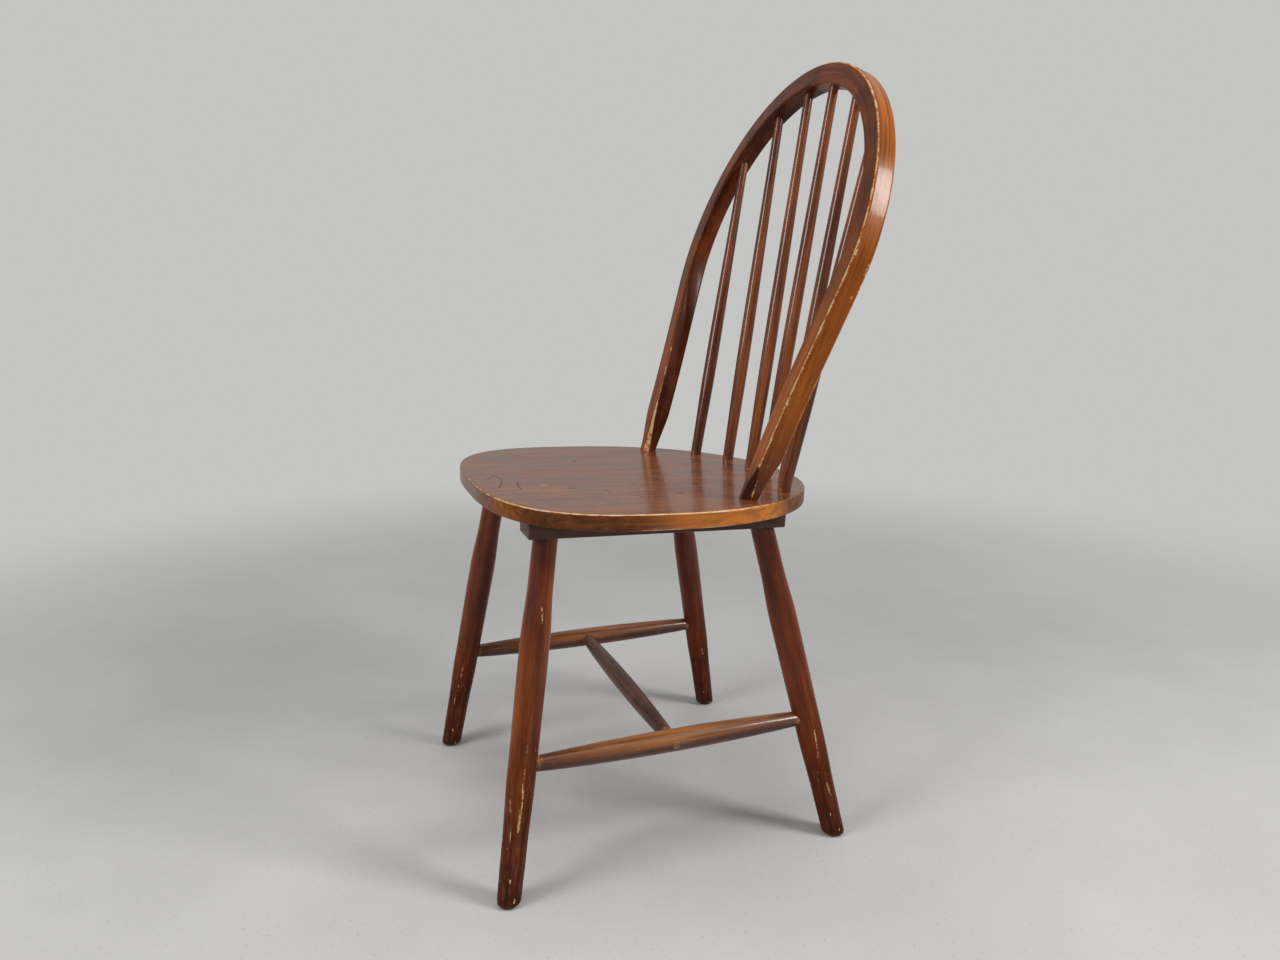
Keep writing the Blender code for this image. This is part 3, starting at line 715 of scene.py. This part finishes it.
def build_rails(materials):
    for side in SIDES:
        front = leg_at_rail(side, "front")
        rear = leg_at_rail(side, "rear")
        run = (rear - front).normalized()
        rail(side, f"side_stretcher_{side}", front + run * leg_radius_at_rail(side, "front"),
             rear - run * leg_radius_at_rail(side, "rear"), SIDE_RAIL, SIDE_RAIL_TIP,
             SIDE_RAIL_SINK, materials[side])
    right = rail_middle("right")
    left = rail_middle("left")
    inner = (left - right).normalized() * (SIDE_RAIL / 2)
    rail("cross", "cross_stretcher", right + inner, left - inner, CROSS_RAIL, CROSS_RAIL_TIP,
         CROSS_RAIL_SINK, materials["cross"])


def lathe(name, profile, material, place, nodes, amber=0.0, worn=0.0):
    """Small revolved piece from (radius, height) points."""
    rings = []
    for radius, height in profile:
        ring = []
        for index in range(LATHE_SEGMENTS):
            spot = polar(radius, 2 * math.pi * index / LATHE_SEGMENTS, height)
            ring.append((spot, tuple(spot), worn, amber, 0.0))
        rings.append(ring)
    return piece(name, rings, material, place, nodes)


def build_pegs(material):
    for side, sign in SIDES.items():
        middle = rail_middle(side)
        surface = SIDE_RAIL / 2
        radius = PEG_DIAMETER / 2
        profile = [(radius * 0.96, surface - PEG_DEPTH), (radius, surface - 0.001)]
        for step in range(LATHE_DOME_STEPS):
            turn = math.pi / 2 * step / LATHE_DOME_STEPS
            profile.append((radius * math.cos(turn) ** 0.8,
                            surface + PEG_PROUD * math.sin(turn)))
        place = axis_frame(middle, middle + Vector((sign, 0, 0)))
        lathe(f"plug_{side}", profile, material, place, [f"peg_{side}"],
              amber=0.5, worn=0.38)


def build_glides(material):
    for side in SIDES:
        for end in LEG_TOP_Y:
            foot, _ = leg_ends(side, end)
            radius = GLIDE_DIAMETER / 2
            profile = [(radius * 0.35, 0.0), (radius - 0.0011, 0.0), (radius - 0.0005, 0.0002),
                       (radius - 0.0001, 0.0007), (radius, 0.0013), (radius, GLIDE_HEIGHT)]
            lathe(f"foot_pad_{end}_{side}", profile, material, Matrix.Translation(foot),
                  [f"glide_{end}_{side}"])


# Battens

BATTEN_STEPS, BATTEN_ROUND_STEPS = 40, 4
BATTEN_EDGE_WEAR, BATTEN_BACK_WEAR = 0.30, 0.12
BATTEN_AMBER = BATTEN_SCUFF = 0.1


def build_batten(side, material):
    """Bar with rounded edges, as rings of one rounded rectangle along its length."""
    centre_x = SIDES[side] * (BATTEN_OUTER_X - BATTEN_WIDTH / 2)
    centre_z = (BATTEN_TOP + BATTEN_BOTTOM) / 2
    ends = []
    for step in range(BATTEN_ROUND_STEPS + 1):
        turn = math.pi / 2 * step / BATTEN_ROUND_STEPS
        ends.append((BATTEN_ROUND * (1 - math.cos(turn)), BATTEN_ROUND * (1 - math.sin(turn))))
    stations = [(BATTEN_FRONT_Y + lift, inset) for lift, inset in ends]
    run = BATTEN_BACK_Y - BATTEN_FRONT_Y - 2 * BATTEN_ROUND
    for step in range(1, BATTEN_STEPS):
        stations.append((BATTEN_FRONT_Y + BATTEN_ROUND + run * step / BATTEN_STEPS, 0.0))
    stations += [(BATTEN_BACK_Y - lift, inset) for lift, inset in reversed(ends)]
    rings = []
    for along, inset in stations:
        half_x = BATTEN_WIDTH / 2 - inset
        half_z = BATTEN_THICKNESS / 2 - inset
        corner = BATTEN_ROUND - inset * 0.9
        ring = []
        for quarter in range(4):
            across = (half_x - corner) * (1 if quarter in (0, 3) else -1)
            up = (half_z - corner) * (1 if quarter in (0, 1) else -1)
            for step in range(BATTEN_ROUND_STEPS + 1):
                turn = math.pi / 2 * (quarter + step / BATTEN_ROUND_STEPS)
                spot = Vector((
                    centre_x + across + corner * math.cos(turn), along,
                    centre_z + up + corner * math.sin(turn)
                ))
                worn = BATTEN_EDGE_WEAR if 0 < step < BATTEN_ROUND_STEPS else 0.0
                if along > BATTEN_BACK_Y - 0.03:
                    worn += BATTEN_BACK_WEAR
                ring.append((spot, (spot.x, spot.z, spot.y), worn, BATTEN_AMBER, BATTEN_SCUFF))
        rings.append(ring)
    return piece(f"bearer_{side}", rings, material, SEAT_FRAME, [f"batten_{side}"])


# Bow

# Rings along each half's side, and again along each half's crown
BOW_STEPS = 110


def bow_taper(height):
    return BOW_END_SCALE + (1 - BOW_END_SCALE) * eased(height / BOW_END_TAPER)


def bow_turn(height):
    share = min(max(height / BOW_CROWN_UP, 0), 1)
    return BOW_FOOT_TWIST * (1 - share) ** 2


def bow_half_line():
    """Centreline from inside the seat to the crown, in the hoop's own plane."""
    foot = Vector((BOW_FOOT_X, 0))
    widest = Vector((BOW_HALF_SPAN, BOW_WIDEST_UP))
    handles = (foot, foot + BOW_FOOT_HANDLE, widest - Vector((0, BOW_SIDE_HANDLE)), widest)
    start = foot - BOW_FOOT_HANDLE.normalized() * BOW_SUNK
    line = [start, start.lerp(foot, 0.5)]
    for step in range(BOW_STEPS):
        share = step / BOW_STEPS
        rest = 1 - share
        weights = (rest ** 3, 3 * rest ** 2 * share, 3 * rest * share ** 2, share ** 3)
        line.append(sum((point * weight for point, weight in zip(handles, weights)),
                        Vector((0, 0))))
    for step in range(BOW_STEPS + 1):
        turn = math.pi / 2 * step / BOW_STEPS
        line.append(Vector((
            BOW_HALF_SPAN * math.cos(turn),
            BOW_WIDEST_UP + (BOW_CROWN_UP - BOW_WIDEST_UP) * math.sin(turn)
        )))
    return line


def bow_line():
    """Both halves, left foot first, as (point, length along the hoop)."""
    half = bow_half_line()
    points = half + [Vector((-point.x, point.y)) for point in reversed(half[:-1])]
    along = 0.0
    line = []
    for index, point in enumerate(points):
        if index:
            along += (point - points[index - 1]).length
        line.append((point, along))
    return line


BOW_CORNERS = (
    # outward, forward, wear on the left half, wear on the right half
    (1, 1, 0.64, 0.46),
    (-1, 1, 0.42, 0.54),
    (-1, -1, 0.30, 0.30),
    (1, -1, 0.53, 0.54),
)
BOW_FLAT_STEPS = 9
BOW_CORNER_STEPS = 6
BOW_DENT = 0.0004
# A face takes its stain from this share of the section's half width, fading in over this one
FACE_EDGE, FACE_FADE = 0.72, 0.2

# Whittled corners at the feet: depth of the slant by height up the hoop
NEAR_FOOT_CUT = ((0.0, 0.0066), (0.046, 0.0))
NEAR_FOOT_SHIFT = 0.7
FAR_FOOT_CUT = (
    (0.0, 0.0046), (0.015, 0.0036), (0.04, 0.0020), (0.08, 0.0011), (0.15, 0.0),
)

# Wear, amber and painted shade by height up the hoop; near is its left half, far its right one
FAR_FOOT_WEAR = ((0.0, 0.60), (0.03, 0.80), (0.07, 0.66), (0.12, 0.50))
FAR_FRONT_WEAR = ((0.12, 1.0), (0.26, 0.45))
OUTER_AMBER = ((0.0, 0.0), (0.06, 0.38), (0.17, 1.0))
NEAR_FRONT_AMBER = ((0.02, 0.0), (0.05, 0.75), (0.17, 0.70), (0.28, 0.05))
FAR_FRONT_AMBER = ((0.20, 0.30), (0.34, 0.0))
NEAR_FRONT_SHADE = ((0.08, 0.08), (0.30, 0.32))
FAR_FRONT_SHADE, FAR_INNER_SHADE = 0.14, 0.42


def bow_section():
    """Points (outward, forward, edge share, corner) round the full section."""
    half_out = BOW_FACE / 2
    half_fore = BOW_DEPTH / 2
    points = []
    for corner, (out, fore, _, _) in enumerate(BOW_CORNERS):
        centre_out = (half_out - BOW_ROUND) * out
        centre_fore = (half_fore - BOW_ROUND) * fore
        arc = []
        for step in range(BOW_CORNER_STEPS + 1):
            share = step / BOW_CORNER_STEPS
            turn = math.pi / 2 * (corner + share)
            arc.append((centre_out + BOW_ROUND * math.cos(turn),
                        centre_fore + BOW_ROUND * math.sin(turn),
                        0.30 + 0.70 * math.sin(math.pi * share) ** 2, corner))
        if points:
            points += bow_flat(points[-1], arc[0])
        points += arc
    return points + bow_flat(points[-1], points[0])


def bow_flat(start, end):
    """Points between two corners, closer together near each corner."""
    flat = []
    for step in range(1, BOW_FLAT_STEPS):
        share = (1 - math.cos(math.pi * step / BOW_FLAT_STEPS)) / 2
        nearest = start[3] if share < 0.5 else end[3]
        flat.append((start[0] + (end[0] - start[0]) * share,
                     start[1] + (end[1] - start[1]) * share, 0.0, nearest))
    return flat


def whittled(across, ahead, scale, way, depth):
    """Move a point back to the slant across one corner; say whether it was moved."""
    diagonal = Vector((way, 1)).normalized()
    reach = (BOW_FACE + BOW_DEPTH) * scale / 2 / math.sqrt(2) - depth
    beyond = Vector((across, ahead)).dot(diagonal) - reach
    if depth <= 0 or beyond <= 0:
        return across, ahead, False
    return across - diagonal.x * beyond, ahead - diagonal.y * beyond, True


def face_share(offset, size):
    """1 on the face that lies at this side of the section, 0 away from it."""
    return eased((offset / size * 2 - FACE_EDGE) / FACE_FADE)


def build_bow(material):
    line = bow_line()
    section = bow_section()
    crown_along = line[len(line) // 2][1]
    rings = []
    for index, (point, along) in enumerate(line):
        before = line[max(index - 1, 0)][0]
        after = line[min(index + 1, len(line) - 1)][0]
        run = (after - before).normalized()
        left = index <= len(line) // 2
        outward = Vector((run.y, -run.x, 0))
        turn = bow_turn(point.y)
        scale = bow_taper(point.y)
        way = 1 if left else -1
        depth = ranged(point.y, NEAR_FOOT_CUT if left else FAR_FOOT_CUT)
        # The near foot narrows at its back and outer side more than at its front
        aside = Vector((-BOW_FACE, BOW_DEPTH)) * (1 - scale) / 2 * NEAR_FOOT_SHIFT
        ring = []
        for out, fore, edge, corner in section:
            across, ahead, cut = whittled(out * scale, fore * scale, scale, way, depth)
            amount = BOW_CORNERS[corner][2 if left else 3]
            if fore > 0 and not left:
                amount *= ranged(point.y, FAR_FRONT_WEAR)
            worn = edge * amount
            if cut:
                worn = 0.0 if left else ranged(point.y, FAR_FOOT_WEAR)
            rub = noise.noise(Vector((along * 60, corner * 5.3, 0)))
            across -= math.copysign(max(rub, 0) * BOW_DENT * worn, across)
            place_out = across * math.cos(turn) - ahead * math.sin(turn)
            place_fore = ahead * math.cos(turn) + across * math.sin(turn)
            spot = Vector((point.x, point.y, 0)) + outward * place_out
            spot.z = place_fore
            patch = noise.noise(Vector((along * 7, 3.3, 0)))
            amber = face_share(out, BOW_FACE) * (0.62 + 0.45 * patch)
            amber *= ranged(point.y, OUTER_AMBER)
            # Painted shade darkens the front face, and on the far half also the inner face
            front = face_share(fore, BOW_DEPTH)
            if left:
                spot += outward * aside.x + Vector((0, 0, aside.y))
                amber = max(amber, front * ranged(point.y, NEAR_FRONT_AMBER))
                shade = front * ranged(point.y, NEAR_FRONT_SHADE)
            else:
                amber = max(amber, front * ranged(point.y, FAR_FRONT_AMBER))
                shade = max(front * FAR_FRONT_SHADE, face_share(-out, BOW_FACE) * FAR_INNER_SHADE)
            # The near foot's whittled facet is fully darkened with painted shade
            if cut:
                amber = 0.0
                shade = 1.0 if left else 0.0
            ring.append((spot, (across, ahead, along - crown_along), worn, amber, shade))
        rings.append(ring)
    return piece("hoop", rings, material, BOW_FRAME, ["bow"])


def bow_flow(across, height, fore):
    """Flow coordinates of the outer face at a place in the hoop's plane."""
    line = bow_line()
    crown_along = line[len(line) // 2][1]
    target = Vector((across, height))
    point, along = min(line, key=lambda entry: (entry[0] - target).length)
    return (BOW_FACE / 2, fore, along - crown_along)


# Spindles

SPINDLE_WEAR, SPINDLE_END_WEAR, SPINDLE_SCUFF = 0.10, 0.26, 0.25


def crown_height(across):
    share = across / BOW_HALF_SPAN
    return BOW_WIDEST_UP + (BOW_CROWN_UP - BOW_WIDEST_UP) * math.sqrt(1 - share * share)


def build_spindle(number, side, index, material):
    sign = SIDES[side]
    foot_x = BOW_FOOT_X * SPINDLE_FOOT_SHARES[index]
    top_x = BOW_HALF_SPAN * SPINDLE_TOP_SHARES[index]
    start = SEAT_FRAME @ Vector((sign * foot_x, SEAT_BACK_Y - SPINDLE_FOOT_INSETS[index], 0))
    centre = BOW_FRAME @ Vector((sign * top_x, crown_height(top_x), 0))
    run = (centre - start).normalized()
    slope_x = top_x / BOW_HALF_SPAN ** 2
    slope_y = (crown_height(top_x) - BOW_WIDEST_UP) / (BOW_CROWN_UP - BOW_WIDEST_UP) ** 2
    normal = BOW_FRAME.to_3x3() @ Vector((sign * slope_x, slope_y, 0)).normalized()
    length = (centre - start).length - (BOW_FACE / 2 - SPINDLE_TOP_DEPTH) / run.dot(normal)
    swell = length * SPINDLE_SWELL_SHARE

    def radius_at(height):
        if height <= 0:
            return SPINDLE_FOOT / 2
        if height < swell:
            return (SPINDLE_FOOT + (SPINDLE_SWELL - SPINDLE_FOOT) * eased(height / swell)) / 2
        share = eased((height - swell) / (length - swell))
        return (SPINDLE_SWELL + (SPINDLE_TOP - SPINDLE_SWELL) * share) / 2

    def wear_at(above, below):
        near_foot = max(1 - abs(above - SPINDLE_SUNK - 0.003) / 0.006, 0)
        near_top = max(1 - abs(below - SPINDLE_TOP_DEPTH - 0.002) / 0.005, 0)
        return SPINDLE_WEAR + SPINDLE_END_WEAR * (near_foot + near_top)

    def amber_at(turn, height):
        cloud = noise.noise(Vector((turn * 0.4, height * 7, number * 9.1)))
        return min(max(0.30 + cloud * 0.8, 0), 1)

    return turned(
        f"stick_{number}", radius_at, lambda turn: -SPINDLE_SUNK, lambda turn: length,
        SPINDLE_RINGS, material, axis_frame(start, centre), [f"spindle_{number}"],
        SPINDLE_SEGMENTS, wear_at, amber_at, lambda height: SPINDLE_SCUFF
    )


# Marks that the photograph shows, in each piece's own grain coordinates

MM = 0.001
LEG_MARK_RADIUS = 0.0152
# Share of the width read off the photograph at which a mark is drawn
LEG_MARK_SHARE, SEAT_NICK_SHARE = 0.52, 1.7


def on_leg(degrees, height):
    return tuple(polar(LEG_MARK_RADIUS, math.radians(degrees), height))


def leg_marks(*rows):
    """Lines on a leg from rows of (degrees, height, degrees, height, width), lengths in mm."""
    return [(on_leg(first, low * MM), on_leg(second, high * MM), width * MM * LEG_MARK_SHARE)
            for first, low, second, high, width in rows]


def seat_marks(share, *rows):
    """Lines on the seat from rows of (x, y, x, y, width) in mm."""
    return [((x * MM, 0, y * MM), (end_x * MM, 0, end_y * MM), width * MM * share)
            for x, y, end_x, end_y, width in rows]


FRONT_LEFT_MARKS = leg_marks(
    (-3, 325, 3, 319, 1.6), (5, 316, 6, 307, 1.7), (-14, 268, -13, 266.5, 1.2),
    (-7, 203, -5, 170, 0.8), (-3, 172, -4, 168, 1.2), (-3, 150, -7, 128, 1.2),
    (-5, 138, -5, 124, 1.4), (0, 128, -3, 88, 1.8), (-4, 106, -6, 84, 4),
    (-52, 116, -50, 104, 1.4), (-46, 106, -44, 101, 1), (6, 75, 10, 60, 1.6),
    (-12, 60, -8, 52, 1.4), (9, 55, 12, 18, 1.3), (14, 40, 12, 28, 2), (-50, 58, -52, 44, 1),
)
REAR_LEFT_MARKS = leg_marks(
    (8, 164, 4, 146, 0.8), (-3, 138, -8, 118, 2), (-9, 116, -13, 104, 1.4),
    (-31, 86, -30, 83.5, 1.7), (2, 69, 6, 53, 4.2), (8, 54, 14, 40, 2.4),
    (-56, 40, -30, 34.5, 0.6), (-30, 34.5, -8, 37, 0.6), (-8, 37, 6, 43, 0.6),
)
REAR_RIGHT_MARKS = leg_marks((0, 111.5, 4, 108, 1.4), (4, 108, 5, 100, 1.1))
FRONT_RIGHT_MARKS = leg_marks(
    (-23, 134, -25, 118, 1.6), (-27, 104, -28, 90, 1.4), (-24, 78, -27, 64, 1.3),
    (-20, 40, -22, 24, 1.2),
)
SEAT_MARKS = seat_marks(
    1.0,
    (92.9, -13.1, 95.4, 3.1, 0.7), (56.2, -122.6, 52.2, -111, 1.1), (54.5, -119, 50, -116, 0.8),
    (160, -90, 158, -76, 0.5),
)
SEAT_NICKS = seat_marks(
    SEAT_NICK_SHARE,
    (-55.4, 101.5, -53, 106, 1.6), (118.1, 23.7, 117.6, 29, 1.6), (61.4, -11.7, 60, -8, 1),
    (72.4, -90.4, 74, -85, 1), (30, -142.2, 52.6, -146.1, 0.8),
    (52.6, -146.1, 69.3, -146.5, 0.8), (13.5, -174, -9.1, -161.2, 0.6),
    (-9.1, -161.2, 16, -156.8, 0.6), (16, -156.8, 60.3, -168.4, 0.6),
    (60.3, -168.4, 64, -180.5, 0.6), (-42.7, -124.5, -38, -60, 0.5), (-29, -22.5, -25, 25, 0.5),
    (87, -56, 101, -50.5, 0.7), (120, -33, 129, -21, 0.7), (-98, -35, -86, -42, 0.7),
    (21, 56, 25, 64, 0.9), (138, 35, 144, 52, 0.6),
)


def bow_marks():
    edge = BOW_DEPTH / 2 / MM
    rows = []
    # Place on the outer face, half the mark's length along the hoop, and its width, in mm
    for across, height, fore, reach, width in (
        (185.1, 115.2, edge - 0.6, 3.5, 2.8),
        (184, 112, edge - 1.6, 2, 1.8),
        (182.1, 92.2, edge - 0.4, 3, 1.6),
        (179.2, 68.9, edge - 1, 3, 1.8),
        (213.5, 281.8, edge - 2, 2, 1.8),
        (213, 270, -edge + 3, 6, 0.8),
        (211, 250, -edge + 1, 4, 1.6),
        (208.5, 238, -edge + 6, 1, 1),
    ):
        out, depth, along = bow_flow(across * MM, height * MM, fore * MM)
        rows.append(((out, depth, along - reach * MM), (out, depth, along + reach * MM),
                     width * MM))
    # Bare wood and painted highlight in a sliver along the whittled corner of the near foot,
    # narrower in its upper part
    sliver_out = BOW_FACE * BOW_END_SCALE / 2
    for low, high, first_fore, second_fore, width in (
        (0.001, 0.014, 0.0006, 0.0020, 0.0016),
        (0.014, 0.024, 0.0022, 0.0036, 0.0008),
    ):
        foot_low = bow_flow(BOW_FOOT_X, low, first_fore)[2]
        foot_high = bow_flow(BOW_FOOT_X, high, second_fore)[2]
        rows.append(((sliver_out, first_fore, foot_low),
                     (sliver_out * 1.06, second_fore, foot_high), width))
    return rows


# The chair

def build_chair():
    # The colours are dark grain, light grain and the paler stain
    # The seat's grime sets the strength of the painted shade on its band
    seat_material = varnished(
        "seat_varnish", (0.140, 0.040, 0.014), (0.255, 0.084, 0.030), (0.59, 0.176, 0.010),
        gloss=0.24, coat=0.38, sheen=0.27, marks=SEAT_MARKS, nicks=SEAT_NICKS,
        hairlines=0.8, mottle=0.22, grime=0.85
    )
    # The bow's grime sets the strength of its painted shade
    bow_material = varnished(
        "bow_varnish", (0.090, 0.017, 0.004), (0.195, 0.047, 0.010), (0.51, 0.134, 0.004),
        gloss=0.25, coat=0.18, marks=bow_marks(), grime=0.75, sheen=0.19, mottle=0.38
    )
    spindle_material = varnished(
        "spindle_varnish", (0.050, 0.011, 0.004), (0.150, 0.036, 0.010), (0.33, 0.090, 0.018),
        gloss=0.19, coat=0.34, scuffs=0.25, sheen=0.24, relief=0.10
    )
    leg_wood = ((0.072, 0.012, 0.004), (0.172, 0.030, 0.007), (0.36, 0.082, 0.007))
    # Marks, how scuffed the leg is, and how much paler stain it shows
    leg_looks = {
        ("left", "front"): (FRONT_LEFT_MARKS, 0.60, 0.68),
        ("left", "rear"): (REAR_LEFT_MARKS, 0.35, 0.40),
        ("right", "front"): (FRONT_RIGHT_MARKS, 0.55, 0.30),
        ("right", "rear"): (REAR_RIGHT_MARKS, 0.30, 0.08),
    }
    rail_wood = ((0.038, 0.009, 0.0035), (0.150, 0.038, 0.011), (0.42, 0.155, 0.045))
    rail_materials = {
        side: varnished(
            f"rail_varnish_{side}", *rail_wood, gloss=0.27, coat=0.38, scuffs=0.5, dust=0.06
        ) for side in SIDES
    }
    rail_materials["cross"] = varnished(
        "rail_varnish_cross", *rail_wood, gloss=0.36, coat=0.20, scuffs=0.4, dust=0.30
    )
    batten_material = varnished(
        "bearer_stain", (0.045, 0.014, 0.007), (0.110, 0.036, 0.016), (0.18, 0.06, 0.022),
        gloss=0.38, coat=0.12, dust=0.12
    )
    peg_material = varnished(
        "plug_varnish", (0.085, 0.030, 0.014), (0.20, 0.075, 0.030), (0.36, 0.16, 0.06),
        gloss=0.32
    )
    build_seat(seat_material)
    build_bow(bow_material)
    places = range(len(SPINDLE_FOOT_SHARES))
    order = [("right", index) for index in places]
    order += [("left", index) for index in reversed(places)]
    for number, (side, index) in enumerate(order, start=1):
        build_spindle(number, side, index, spindle_material)
    for (side, end), (marks, scuffs, orange) in leg_looks.items():
        leg_material = varnished(
            f"leg_varnish_{end}_{side}", *leg_wood, coat=0.20, marks=marks, scuffs=scuffs,
            grime=0.35, sheen=0.22, mottle=0.35
        )
        build_leg(side, end, leg_material, orange)
    build_rails(rail_materials)
    build_pegs(peg_material)
    build_glides(plastic("foot_pad_plastic"))
    for side in SIDES:
        build_batten(side, batten_material)


# Floor, backdrop, lamps and camera

FLOOR_SEGMENTS = 96
FLOOR_RADII = (0.4, 0.8, 1.2, 1.6, 2.0, 2.6, 3.4)
FLOOR_FADE = (0.75, 2.1)
FLOOR_DARK, FLOOR_PALE, FLOOR_SPECK = (
    colour(0.54, 0.54, 0.535), colour(0.60, 0.60, 0.595), colour(0.26, 0.26, 0.26)
)
SOFT_COLOUR, SOFT_LEVEL = (0.95, 0.97, 1.0, 1), 0.15
GLOSSY_BACKGROUND = (0.40, 0.40, 0.39, 1)
SEEN_BACKGROUND = (0.555, 0.555, 0.545, 1)
LAMP_TARGET = Vector((0, 0, 0.45))
WARM = (1.0, 0.98, 0.95)
LAMPS = (
    # name, place, side in metres, watts, tint
    ("lamp_left", (0.45, -1.80, 1.35), 0.8, 20, WARM),
    ("lamp_right", (1.35, 1.45, 1.55), 0.64, 32, WARM),
    ("lamp_over", (0.2, 0.0, 2.7), 2.2, 26, (1, 1, 1)),
)


def build_stage():
    """Round pale floor whose rim fades into the background, so that it has no edge."""
    verts = [Vector((0, 0, 0))]
    for radius in FLOOR_RADII:
        for index in range(FLOOR_SEGMENTS):
            verts.append(polar(radius, 2 * math.pi * index / FLOOR_SEGMENTS, 0))
    faces = []
    for index in range(FLOOR_SEGMENTS):
        after = (index + 1) % FLOOR_SEGMENTS
        faces.append((0, 1 + index, 1 + after))
        for base in range(1, 1 + (len(FLOOR_RADII) - 1) * FLOOR_SEGMENTS, FLOOR_SEGMENTS):
            beyond = base + FLOOR_SEGMENTS
            faces.append((base + index, beyond + index, beyond + after, base + after))
    mesh = bpy.data.meshes.new("floor_disc")
    mesh.from_pydata(verts, [], faces)
    graph = Graph("pale_floor")
    place = graph.node("ShaderNodeTexCoord", {}).outputs["Object"]
    cloud = graph.noise(place, 2.2, detail=4, roughness=0.6)
    speck = graph.noise(place, 210, detail=2, roughness=0.7)
    body = graph.mix(graph.step(cloud, 0.3, 0.7), FLOOR_DARK, FLOOR_PALE)
    body = graph.mix(graph.step(speck, 0.60, 0.72, 0.0, 0.30), body, FLOOR_SPECK)
    reach = graph.node("ShaderNodeVectorMath", {0: place}, operation="LENGTH").outputs["Value"]
    mesh.materials.append(graph.surface({
        "Base Color": body, "Roughness": 0.85, "Specular IOR Level": 0.2,
        "Alpha": graph.step(reach, *FLOOR_FADE, 1.0, 0.0),
    }))
    obj = add_object("floor_disc", mesh)


def build_light():
    world = bpy.data.worlds.new("studio")
    bpy.context.scene.world = world
    world.use_nodes = True
    tree = world.node_tree
    soft = tree.nodes["Background"]
    soft.inputs["Color"].default_value = SOFT_COLOUR
    soft.inputs["Strength"].default_value = SOFT_LEVEL
    rays = tree.nodes.new("ShaderNodeLightPath")
    shade = soft
    for kind, level in (("Is Glossy Ray", GLOSSY_BACKGROUND), ("Is Camera Ray", SEEN_BACKGROUND)):
        backdrop = tree.nodes.new("ShaderNodeBackground")
        backdrop.inputs["Color"].default_value = level
        mixed = tree.nodes.new("ShaderNodeMixShader")
        tree.links.new(rays.outputs[kind], mixed.inputs[0])
        tree.links.new(shade.outputs[0], mixed.inputs[1])
        tree.links.new(backdrop.outputs[0], mixed.inputs[2])
        shade = mixed
    tree.links.new(shade.outputs[0], tree.nodes["World Output"].inputs["Surface"])
    for name, place, size, power, tint in LAMPS:
        data = bpy.data.lights.new(name, "AREA")
        data.shape = "SQUARE"
        data.size = size
        data.energy = power
        data.color = tint
        lamp = add_object(name, data)
        lamp.location = place
        lamp.visible_camera = False
        aim = LAMP_TARGET - Vector(place)
        lamp.rotation_euler = aim.to_track_quat("-Z", "Y").to_euler()


def build_camera():
    data = bpy.data.cameras.new("camera")
    data.sensor_fit = "HORIZONTAL"
    data.sensor_width = SENSOR_WIDTH
    data.lens = CAMERA_LENS
    camera = add_object("camera", data)
    flat = Vector((-math.sin(CAMERA_YAW), math.cos(CAMERA_YAW), 0))
    forward = flat * math.cos(CAMERA_PITCH) + Vector((0, 0, math.sin(CAMERA_PITCH)))
    right = forward.cross(Vector((0, 0, 1))).normalized()
    up = right.cross(forward)
    turn = Matrix((right, up, -forward)).transposed().to_4x4()
    camera.matrix_world = Matrix.Translation(CAMERA_PLACE) @ turn
    bpy.context.scene.camera = camera


build_chair()
build_stage()
build_light()
build_camera()
bpy.context.scene.view_settings.view_transform = "Standard"

bpy.context.view_layer.update()
